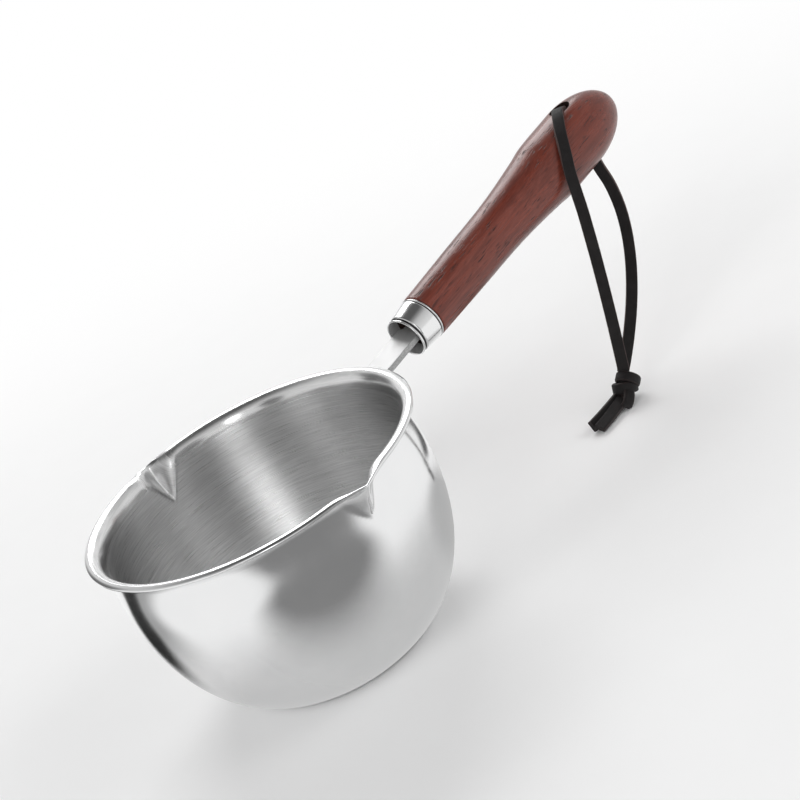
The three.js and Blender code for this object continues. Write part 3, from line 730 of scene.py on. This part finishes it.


# Outline of the ferrule in stretches, each with its zone: 0 polished, 1 matt bore, 2 groove with painted
# shade
def ferrule_stretches():
    rear = FERRULE_LENGTH
    slope = (FERRULE_REAR_RADIUS - FERRULE_MOUTH_RADIUS) / rear
    low = FERRULE_MOUTH_RADIUS - FERRULE_BEAD
    rear_low = FERRULE_REAR_RADIUS - FERRULE_BEAD
    body_from = FERRULE_ROLL + FERRULE_GROOVE
    rear_roll = rear - FERRULE_REAR_ROLL
    body_to = rear_roll - FERRULE_REAR_GROOVE
    front_rise = FERRULE_MOUTH_RADIUS + slope * body_from - low
    rear_rise = FERRULE_MOUTH_RADIUS + slope * body_to - rear_low
    bore_edge = FERRULE_BORE + FERRULE_BEAD * (1 + FERRULE_OPENS)
    edge = [(FERRULE_BEAD * (1 - sin(turn)), bore_edge - FERRULE_BEAD * cos(turn))
            for turn in quarter(MOUTH_ROWS)]
    front_round = [(body_from + FERRULE_ROUND * (1 - cos(turn)), low + front_rise * sin(turn))
                   for turn in quarter(ROUND_ROWS)]
    rear_round = [(body_to - FERRULE_REAR_ROUND * (1 - sin(turn)), rear_low + rear_rise * cos(turn))
                  for turn in quarter(ROUND_ROWS)]
    body = [tuple(Vector(front_round[-1]).lerp(Vector(rear_round[0]), u)) for u in steps(BODY_ROWS)[1:-1]]
    return [
        ([(rear, FERRULE_BORE), (FERRULE_FLARE, FERRULE_BORE), edge[0]], 1),
        ([*edge[1:], *bead(0, FERRULE_ROLL, low, FERRULE_BEAD)[1:]], 0),
        (front_round[:GROOVE_ROWS], 2),
        ([*front_round[GROOVE_ROWS:], *body, *rear_round[:-GROOVE_ROWS]], 0),
        ([*rear_round[-GROOVE_ROWS:], (rear_roll, rear_low)], 2),
        (bead(rear_roll, rear, rear_low, FERRULE_BEAD)[1:], 0),
    ]


def make_ferrule(polished, matt, groove_shade):
    stretches = ferrule_stretches()
    outline = [point for points, _ in stretches for point in points]
    rows = [zone for points, zone in stretches for _ in points]
    rows = [*rows[1:], 0]
    points, faces = turned_mesh(outline, mouth, handle_along, handle_up, FERRULE_SIDES, ring=True)
    zones = [zone for zone in rows for _ in range(FERRULE_SIDES)]
    # The third material is painted shade in the grooves.
    ferrule = mesh_piece("ferrule_collar", points, faces, [polished, matt, groove_shade], zones)
    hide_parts("ferrule")
    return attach(ferrule, "pot")


# Distance from the mouth at a share of the grip's length
def grip_at(share):
    return grip_start + (GRIP_END - grip_start) * share


grip_curve = smooth_route([
    Vector((grip_start, FERRULE_REAR_RADIUS)),
    Vector((grip_at(GRIP_MID_AT / 2), (FERRULE_REAR_RADIUS + GRIP_MID_RADIUS) / 2)),
    Vector((grip_at(GRIP_MID_AT), GRIP_MID_RADIUS)),
    Vector((grip_at(GRIP_SWELL_AT), (GRIP_MID_RADIUS + 2 * GRIP_MAX_RADIUS) / 3)),
    Vector((GRIP_END - GRIP_FULL_FROM * GRIP_DOME, GRIP_MAX_RADIUS * GRIP_FULL)),
    Vector((GRIP_END - GRIP_DOME, GRIP_MAX_RADIUS)),
], GRIP_STEPS)


# Radius of the grip at a distance from the mouth
def grip_radius(along):
    if along > GRIP_END - GRIP_DOME:
        into = (along - GRIP_END + GRIP_DOME) / GRIP_DOME
        return GRIP_MAX_RADIUS * sqrt(max(0, 1 - into * into))
    after = next((i for i, point in enumerate(grip_curve) if point.x >= along), 1)
    a = grip_curve[max(after, 1) - 1]
    b = grip_curve[max(after, 1)]
    return a.y + (b.y - a.y) * (along - a.x) / (b.x - a.x)


def cut_away(piece, cutter):
    cut = piece.modifiers.new("cut", "BOOLEAN")
    cut.object = cutter
    cut.operation = "DIFFERENCE"
    cut.solver = "EXACT"
    bpy.context.view_layer.update()
    mesh = bpy.data.meshes.new_from_object(piece.evaluated_get(bpy.context.evaluated_depsgraph_get()))
    piece.modifiers.clear()
    piece.data = mesh
    bpy.data.objects.remove(cutter)


def hole_cutter():
    bottom = GRIP_MAX_RADIUS - HOLE_ROUNDING
    lower = [(-GRIP_MAX_RADIUS - CUT_PAST, HOLE_RADIUS + HOLE_ROUNDING)]
    for turn in quarter(HOLE_ROWS):
        lower.append((-bottom - HOLE_ROUNDING * cos(turn), HOLE_RADIUS + HOLE_ROUNDING * (1 - sin(turn))))
    outline = lower + [(-along, radius) for along, radius in reversed(lower)]
    middle = on_handle(hole_along, 0, 0)
    points, faces = turned_mesh(outline, middle, handle_up, Vector((0, 1, 0)), HOLE_SIDES)
    # Faces deeper than part of the rounding get zone 1, the painted shade.
    painted_shade_below = HOLE_RADIUS + HOLE_PAINTED_SHADE * HOLE_ROUNDING
    rows = [int(max(a[1], b[1]) < painted_shade_below) for a, b in zip(outline, outline[1:])]
    return points, faces, [zone for zone in rows for _ in range(HOLE_SIDES)] + [0, 0]


# Slot in the wood for the tongue of the tang
def slot_cutter():
    far = FERRULE_RECESS + TONGUE_LENGTH + 2 * GAP
    wide = TONGUE_WIDTH / 2 + GAP
    high = TANG_THICKNESS / 2 + GAP
    points = [on_handle(along, up, side)
              for along in (FERRULE_RECESS - CUT_PAST, far) for up in (-high, high) for side in (-wide, wide)]
    faces = [(0, 2, 3, 1), (4, 5, 7, 6), (0, 1, 5, 4), (2, 6, 7, 3), (0, 4, 6, 2), (1, 3, 7, 5)]
    # All faces of the slot get zone 1, the painted shade.
    return points, faces, [1] * len(faces)


def make_grip(wood, recess_shade):
    spigot = FERRULE_BORE - GAP
    outline = [(FERRULE_RECESS, TINY), (FERRULE_RECESS, spigot), (grip_start, spigot)]
    for turn in quarter(GRIP_EDGE_ROWS):
        outline.append((grip_start + GRIP_EDGE * (1 - cos(turn)),
                        FERRULE_REAR_RADIUS - GRIP_EDGE * (1 - sin(turn))))
    begin = grip_start + GRIP_EDGE
    for u in steps(GRIP_ROWS)[1:]:
        along = begin + (GRIP_END - GRIP_DOME - begin) * u
        outline.append((along, grip_radius(along)))
    for turn in quarter(DOME_ROWS)[1:]:
        outline.append((GRIP_END - GRIP_DOME * (1 - sin(turn)), max(TINY, GRIP_MAX_RADIUS * cos(turn))))
    points, faces = turned_mesh(outline, mouth, handle_along, handle_up, GRIP_SIDES)
    # Zone 1, painted shade, covers the spigot under the ferrule; the hole and the slot get it from their
    # cutters.
    zones = [1] * (2 * GRIP_SIDES) + [0] * (GRIP_SIDES * (len(outline) - 3)) + [1, 0]
    grip = mesh_piece("grip_wood", points, faces, [wood, recess_shade], zones)
    for name, (points, faces, zones) in (("hole", hole_cutter()), ("slot", slot_cutter())):
        cut_away(grip, mesh_piece(name, points, faces, [wood, recess_shade], zones))
    grip.data.polygons.foreach_set("use_smooth", [True] * len(grip.data.polygons))
    grip.data.set_sharp_from_angle(angle=GRIP_SHARP_ANGLE)
    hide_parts("grip")
    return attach(grip, "pot")


# Corner-rounded rectangle around the middle of a bar or lace, as (across, through, is it a narrow side)
def bar_section(half_wide, half_thick, corner):
    section = []
    for sign_x, sign_y, start in ((1, 1, 0), (-1, 1, 1), (-1, -1, 2), (1, -1, 3)):
        for u in steps(SECTION_ROWS):
            turn = pi / 2 * (start + u)
            x = sign_x * (half_wide - corner) + corner * cos(turn)
            y = sign_y * (half_thick - corner) + corner * sin(turn)
            section.append((x, y, abs(y) < half_thick - 0.1 * corner))
        if start % 2 == 0:
            places = FLAT_PLACES if start == 0 else FLAT_PLACES[::-1]
            section += [(x * (half_wide - corner), sign_y * half_thick, False) for x in places]
    return section


# A bar or lace along a route, where facing and width_at give the way its flat side faces and its width
def bar_mesh(route, facing, width_at, thickness, corner, ring=False):
    points = []
    edge = []
    total = len(route)
    for i, at in enumerate(route):
        share = i / (total - 1)
        before = route[i - 1] if ring else route[max(i - 1, 0)]
        after = route[(i + 1) % total] if ring else route[min(i + 1, total - 1)]
        along = (after - before).normalized()
        across = facing(share, at).cross(along).normalized()
        face = along.cross(across).normalized()
        half_wide = width_at(share, at) / 2
        section = bar_section(half_wide, thickness / 2, min(corner, half_wide * 0.9))
        for x, y, narrow in section:
            points.append(at + across * x + face * y)
            edge.append(1.0 if narrow else 0.0)
    sides = len(section)
    faces = []
    for i in range(total if ring else total - 1):
        low = i * sides
        high = (i + 1) % total * sides
        for j in range(sides):
            k = (j + 1) % sides
            faces.append((low + j, low + k, high + k, high + j))
    if not ring:
        faces.append(tuple(reversed(range(sides))))
        faces.append(tuple(range(sides * (total - 1), sides * total)))
    return points, faces, edge


def wall_radius(height):
    neck_height = BOWL_HEIGHT - SHEET / 2 - FLARE_HEIGHT
    share = min(1, max(0, (height - BELLY_HEIGHT) / (neck_height - BELLY_HEIGHT)))
    return BELLY_RADIUS - NECK_PULL_IN * ease(share)


# Flat bar bent down into a tab that is shaped to the wall, with a narrower tongue inside the grip
def make_tang(steel):
    tab_x = BELLY_RADIUS + GAP + TANG_THICKNESS / 2 - NECK_PULL_IN
    bar_z = mouth.z - (mouth.x - tab_x) * tan(HANDLE_TILT)
    turn = pi / 2 - HANDLE_TILT
    centre = Vector((tab_x + TANG_BEND, 0, bar_z - TANG_BEND * tan(turn / 2)))
    foot = Vector((tab_x, 0, bar_z - TAB_LENGTH))
    bend = []
    for u in steps(BEND_ROWS):
        angle = pi - turn * u
        bend.append(centre + Vector((cos(angle), 0, sin(angle))) * TANG_BEND)
    tip = on_handle(FERRULE_RECESS + TONGUE_LENGTH, 0, 0)
    corner_places = [foot + Vector((0, 0, TAB_CORNER * (1 - cos(angle)))) for angle in quarter(CORNER_ROWS)]
    shoulder = on_handle(SHOULDER_DEPTH, 0, 0)
    narrowed = on_handle(SHOULDER_DEPTH + SHOULDER_SLOPE, 0, 0)
    tab = [corner_places[-1].lerp(bend[0], u) for u in steps(BAR_ROWS)[1:-1]]
    bar = [bend[-1].lerp(shoulder, u) for u in steps(BAR_ROWS)[1:]]
    route = [*corner_places, *tab, *bend, *bar, narrowed, tip]

    def width_at(share, at):
        above = at.z - foot.z
        if at.x < tab_x + NUDGE and above < TAB_CORNER:
            return TANG_WIDTH - 2 * TAB_CORNER + 2 * sqrt(max(0, TAB_CORNER ** 2 - (TAB_CORNER - above) ** 2))
        return TANG_WIDTH if at.x <= shoulder.x + NUDGE else TONGUE_WIDTH

    def facing(share, at):
        return handle_up if at.x > tab_x + TANG_BEND else TAB_FACE

    points, faces, edge = bar_mesh(route, facing, width_at, TANG_THICKNESS, TANG_EDGE)
    for point in points:
        if point.z < bar_z - TANG_BEND / 2:
            clear = wall_radius(point.z) + GAP / 2
            point.x = max(point.x, sqrt(clear * clear - point.y * point.y))
    tang = mesh_piece("tang_bar", points, faces, [steel], edge=edge)
    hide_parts("tang")
    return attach(tang, "pot")


# Route of the lace: up through the hole, slantwise over the side of the grip and down to the knot
lace_over = LACE_THICKNESS / 2 + LACE_LIFT
ball_top = Vector((0, 0, LACE_THICKNESS / 2))
back_pivot = on_handle(hole_along + LEG_SHIFT, -GRIP_MAX_RADIUS - LEG_DROP, 0)
bridge_top = GRIP_MAX_RADIUS + lace_over
slant_direction = Vector((-LACE_SLANT * (pi / 2 / LACE_WRAP), -bridge_top)).normalized()


def over_grip(share):
    turn = LACE_WRAP * share
    run = LACE_EVEN * share + (1 - LACE_EVEN) * sin(pi / 2 * share)
    along = hole_along - LACE_SLANT * run
    radius = grip_radius(along) + lace_over
    return on_handle(along, radius * cos(turn), -radius * sin(turn))


def from_hole(out, up):
    return on_handle(hole_along + slant_direction.x * out, up, slant_direction.y * out)


leaving = over_grip(1)
front_pivot = leaving + LEG_OFF_WOOD
front_pivot.z = back_pivot.z
knot_turn_radius = KNOT_RADIUS + LACE_THICKNESS * KNOT_TURN
knot_reach = knot_turn_radius + LACE_THICKNESS / 2
knot_middle = back_pivot + KNOT_FROM_PIVOT
knot_middle.z = knot_reach + BELOW
towards_front = Vector((-0.5, -0.77, 0.38)).normalized()
legs_meet = knot_middle + LEGS_MEET + Vector((0, 0, knot_reach * LEGS_MEET_AT))
front_end = legs_meet + towards_front * (LACE_THICKNESS + GAP) / 2
back_end = legs_meet - towards_front * (LACE_THICKNESS + GAP) / 2
lace_side = Vector((0.84, 0.54, 0))
leg_face = Vector((-0.64, -0.74, 0.2)).normalized()
front_leg = [
    front_pivot + ball_top,
    front_pivot.lerp(front_end, 0.33) + Vector((0.0016, 0.0005, 0)),
    front_pivot.lerp(front_end, 0.67) + Vector((0.0016, 0.0007, 0)),
    front_end,
]
back_leg = [
    back_pivot + ball_top,
    back_pivot + Vector((0.0069, -0.0017, -0.026)),
    back_end + Vector((0.0284, 0.0096, 0.011)),
    back_end,
]


def front_route():
    over = [over_grip(0.22), over_grip(0.45), over_grip(0.7) + Vector((0, -0.0005, 0.0003))]
    points = [from_hole(0, 0)]
    points += [from_hole(out, bridge_top - depth) for out, depth in OUT_OF_HOLE]
    points += [*over, over_grip(0.93) + Vector((-0.0004, -0.0013, 0))]
    points += [bezier(front_leg, u) for u in (0.06, 0.15, 0.25, 0.36, 0.48, 0.6, 0.72, 0.84, 0.93, 1)]
    return evenly(smooth_route(points, ROUTE_STEPS), LACE_STEP)


def back_route():
    points = [from_hole(0, 0), back_pivot + Vector((0, 0, 0.004))]
    points += [bezier(back_leg, u) for u in (0.03, 0.12, 0.24, 0.36, 0.48, 0.6, 0.72, 0.84, 0.93, 1)]
    return evenly(smooth_route(points, ROUTE_STEPS), LACE_STEP)


# Inside the hole the lace faces along the grip, on the wood it lies flat, and its leg turns to the front.
def front_facing(share, at):
    height = (at - mouth).dot(handle_up)
    outward = (handle_up * height + Vector((0, at.y, 0))).normalized()
    deep, shallow = LACE_FLATTENS
    out = smoothstep(hypot(height, at.y), GRIP_MAX_RADIUS - deep, GRIP_MAX_RADIUS - shallow)
    on_wood = lace_side.lerp(outward, out)
    if at.y > over_grip(LACE_TURNS[0]).y:
        return on_wood
    turned = smoothstep(-at.z, -over_grip(LACE_TURNS[0]).z, -over_grip(LACE_TURNS[1]).z)
    return on_wood.lerp(leg_face, turned)


def back_facing(share, at):
    fallen = smoothstep(back_pivot.z - at.z, 0, back_pivot.z - back_end.z)
    return (-lace_side).lerp(towards_front, fallen)


def lace_width(share, at):
    return LACE_WIDTH


# One half of the lace, as a bar along its route, baked into the world's frame.
def make_lace(name, route, facing, hide, nodes):
    points, faces, edge = bar_mesh(route, facing, lace_width, LACE_THICKNESS, LACE_CORNER)
    lace = mesh_piece(name, points, faces, [hide], edge=edge)
    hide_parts(*nodes)
    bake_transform(lace)
    return lace


# Knot: two turns of an overhand knot pulled tight, the lace inside them and the fold below
camera_right = CAMERA_FORWARD.cross(CAMERA_UP).normalized()
camera_up = camera_right.cross(CAMERA_FORWARD).normalized()


def by_knot(right, up, out):
    return knot_middle + camera_right * right + camera_up * up - CAMERA_FORWARD * out


# Ring of lace around the knot. Its axis leans to the front and to the side.
def knot_ring(middle, across, deep, lean_front, lean_side, width):
    axis = (camera_up - CAMERA_FORWARD * tan(lean_front) + camera_right * tan(lean_side)).normalized()
    first = camera_right - axis * camera_right.dot(axis)
    first.normalize()
    second = axis.cross(first)
    turns = [2 * pi * i / KNOT_SIDES for i in range(KNOT_SIDES)]
    route = [middle + first * across * cos(turn) + second * deep * sin(turn) for turn in turns]
    return bar_mesh(route, lambda share, at: at - middle, lambda share, at: width,
                    LACE_THICKNESS, KNOT_CORNER, ring=True)


def knot_fold():
    route = evenly(smooth_route([by_knot(*place) for place in KNOT_FOLD], FOLD_STEPS), LACE_STEP)
    inside = by_knot(*FOLD_INSIDE)

    def width_at(share, at):
        return LACE_WIDTH * (FOLD_WIDTH - FOLD_NARROWS * share)

    return bar_mesh(route, lambda share, at: at - inside, width_at, LACE_THICKNESS, KNOT_CORNER)


# Lump of lace inside the turns
def knot_core():
    outline = [(-KNOT_RADIUS * cos(pi * u), max(TINY, KNOT_RADIUS * KNOT_CORE * sin(pi * u)))
               for u in steps(CORE_ROWS)]
    points, faces = turned_mesh(outline, by_knot(*KNOT_CORE_MIDDLE), camera_up, camera_right, CORE_SIDES)
    return points, faces, [0.0] * len(points)


def make_knot(hide):
    shapes = [knot_core()]
    for middle, across, deep, lean_front, lean_side, width in KNOT_TURNS:
        shapes.append(knot_ring(by_knot(*middle), across, deep, lean_front, lean_side, LACE_WIDTH * width))
    shapes.append(knot_fold())
    points = []
    faces = []
    edge = []
    for shape_points, shape_faces, shape_edge in shapes:
        faces += [tuple(len(points) + i for i in face) for face in shape_faces]
        points += shape_points
        edge += [value * DULL_EDGE for value in shape_edge]
    for point in points:
        point.z = max(point.z, BELOW)
    knot = mesh_piece("lace_knot", points, faces, [hide], edge=edge)
    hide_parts("strap_knot")
    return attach(knot, "strap_loop")


# The cut ends lie side by side: one leans a little from its edge, the other lies tilted beside it.
leaning_half = (LACE_THICKNESS * cos(TAIL_LEAN) + LACE_WIDTH * sin(TAIL_LEAN)) / 2
leaning_level = (LACE_WIDTH * cos(TAIL_LEAN) + LACE_THICKNESS * sin(TAIL_LEAN)) / 2 + BELOW
lying_level = (LACE_THICKNESS * cos(TAIL_TILT) + LACE_WIDTH * sin(TAIL_TILT)) / 2 + BELOW
lying_side = TAIL_SIDE - leaning_half - LACE_WIDTH / 2 - 2 * GAP + LYING_NEARER


def make_tail(name, node, side, start_shift, level, face, hide):
    beside = Vector((knot_middle.x, knot_middle.y + side, level))
    start = beside + Vector((-knot_reach * TAIL_FROM, 0, TAIL_RISE)) + start_shift
    end = beside + Vector((-knot_reach * TAIL_PAST - TAIL_LENGTH, 0, 0))
    middle = start.lerp(end, TAIL_SAG_AT)
    middle.z = level + TAIL_SAG
    route = evenly([bezier([start, middle, end], u) for u in steps(TAIL_ROWS)], LACE_STEP)
    points, faces, edge = bar_mesh(route, lambda share, at: face, lace_width, LACE_THICKNESS, LACE_CORNER)
    tail = mesh_piece(name, points, faces, [hide], edge=[value * DULL_EDGE for value in edge])
    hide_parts(node)
    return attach(tail, "strap_loop")


def make_tails(hide):
    leaning_face = Vector((0, -cos(TAIL_LEAN), sin(TAIL_LEAN)))
    lying_face = Vector((0, -sin(TAIL_TILT), cos(TAIL_TILT)))
    return [
        make_tail("lace_end_left", "strap_end_left", TAIL_SIDE, Vector(), leaning_level, leaning_face, hide),
        make_tail("lace_end_right", "strap_end_right", lying_side, LYING_SHIFT, lying_level,
                  lying_face, hide),
    ]


def make_camera():
    lens = bpy.data.cameras.new("camera")
    lens.lens = CAMERA_LENS
    lens.sensor_width = CAMERA_SENSOR
    camera = bpy.data.objects.new("camera", lens)
    turn = Matrix((camera_right, camera_up, -CAMERA_FORWARD)).transposed()
    camera.matrix_world = Matrix.Translation(CAMERA_PLACE) @ turn.to_4x4()
    bpy.context.scene.collection.objects.link(camera)
    bpy.context.scene.camera = camera


def flat_sheet(name, middle, right, up):
    points = [middle - right - up, middle + right - up, middle + right + up, middle - right + up]
    mesh = bpy.data.meshes.new(name)
    mesh.from_pydata(points, [], [(0, 1, 2, 3)])
    sheet = bpy.data.objects.new(name, mesh)
    bpy.context.scene.collection.objects.link(sheet)
    return sheet


def make_floor():
    floor = flat_sheet("floor", Vector(), Vector((FLOOR_HALF, 0, 0)), Vector((0, FLOOR_HALF, 0)))
    material, tree, shader = new_material("floor")
    speckle = noise(tree, object_place(tree), scale=40)
    feed(tree, shader, "Base Color", blend_colours(tree, speckle, grey(0.90), grey(0.92)))
    feed(tree, shader, "Roughness", 0.9)
    feed(tree, shader, "Specular IOR Level", 0.1)
    reach = length_of(tree, object_place(tree))
    path = add_node(tree, "ShaderNodeLightPath").outputs
    mirrored = calc(tree, "MAXIMUM", path["Is Glossy Ray"], path["Is Transmission Ray"])
    shares = []
    for ray, (near, far) in ((path["Is Camera Ray"], WHITE_SEEN), (mirrored, WHITE_MIRRORED)):
        shares.append(calc(tree, "MULTIPLY", span(tree, reach, near, far, 0, 1, soft=True), ray))
    white = add_node(tree, "ShaderNodeEmission", {"Color": grey(1), "Strength": 1.0}).outputs[0]
    inputs = {0: calc(tree, "MAXIMUM", *shares), 1: shader.outputs[0], 2: white}
    mixed = add_node(tree, "ShaderNodeMixShader", inputs).outputs[0]
    tree.links.new(mixed, tree.nodes["Material Output"].inputs[0])
    floor.data.materials.append(material)


# Soft-edged card that only reflections see, as a photographer shades polished metal
def make_card(name, middle, right, up, shade, soft_from):
    card = flat_sheet(name, Vector(), Vector((1, 0, 0)), Vector((0, 1, 0)))
    third = Vector(right).cross(Vector(up)).normalized()
    card.matrix_world = Matrix.Translation(middle) @ Matrix((right, up, third)).transposed().to_4x4()
    material = bpy.data.materials.new(name)
    material.use_nodes = True
    tree = material.node_tree
    tree.nodes.clear()
    reach = length_of(tree, object_place(tree))
    soft = span(tree, reach, soft_from, 1, 1, 0, soft=True)
    clear = add_node(tree, "ShaderNodeBsdfTransparent").outputs[0]
    glow = add_node(tree, "ShaderNodeEmission", {"Color": grey(shade), "Strength": 1.0}).outputs[0]
    mixed = add_node(tree, "ShaderNodeMixShader", {0: soft, 1: clear, 2: glow}).outputs[0]
    add_node(tree, "ShaderNodeOutputMaterial", {0: mixed})
    card.data.materials.append(material)
    card.visible_camera = False
    card.visible_diffuse = False
    card.visible_shadow = False


def make_lamp(name, place, size, power, mirrored):
    lamp = bpy.data.lights.new(name, "AREA")
    lamp.shape = "RECTANGLE"
    lamp.size, lamp.size_y = size
    lamp.energy = power
    holder = bpy.data.objects.new(name, lamp)
    holder.location = place
    holder.rotation_euler = (LAMP_TARGET - Vector(place)).to_track_quat("-Z", "Y").to_euler()
    holder.visible_glossy = mirrored
    bpy.context.scene.collection.objects.link(holder)


# Soft room: white at the horizon, pale halfway up and dim overhead
def make_room():
    world = bpy.data.worlds.new("room")
    bpy.context.scene.world = world
    world.use_nodes = True
    tree = world.node_tree
    tree.nodes.clear()
    height = add_node(tree, "ShaderNodeSeparateXYZ", {
        0: add_node(tree, "ShaderNodeTexCoord").outputs["Generated"],
    }).outputs[2]
    ramp = add_node(tree, "ShaderNodeValToRGB", {0: span(tree, height, *ROOM_HEIGHTS, 0, 1)})
    while len(ramp.color_ramp.elements) < len(ROOM_SHADES):
        ramp.color_ramp.elements.new(0.5)
    for element, (at, shade) in zip(ramp.color_ramp.elements, ROOM_SHADES):
        element.position = at
        element.color = grey(shade)
    background = add_node(tree, "ShaderNodeBackground", {"Color": ramp.outputs[0], "Strength": 1.0})
    add_node(tree, "ShaderNodeOutputWorld", {0: background.outputs[0]})


def make_studio():
    make_floor()
    make_room()
    for lamp in LAMPS:
        make_lamp(*lamp)
    for card in CARDS:
        make_card(*card)


bpy.context.scene.view_settings.view_transform = "Standard"
make_camera()
hide = leather()
polished = polished_steel()
knot = make_knot(hide)
tails = make_tails(hide)
make_lace("lace_front", front_route(), front_facing, hide, ["strap_bridge", "strap_front_leg"])
make_lace("lace_back", back_route(), back_facing, hide, ["strap_back_leg"])
brushed = brushed_steel("brushed_inside", roughness=0.24, dark=0.60, bright=0.90)
make_bowl(polished, brushed, brushed_steel("brushed_flare", roughness=0.15, dark=0.74, bright=0.92))
make_tang(bare_steel())
make_ferrule(polished, matt_bore(), groove_painted_shade())
make_grip(rosewood(), painted_shade_wood())
make_studio()
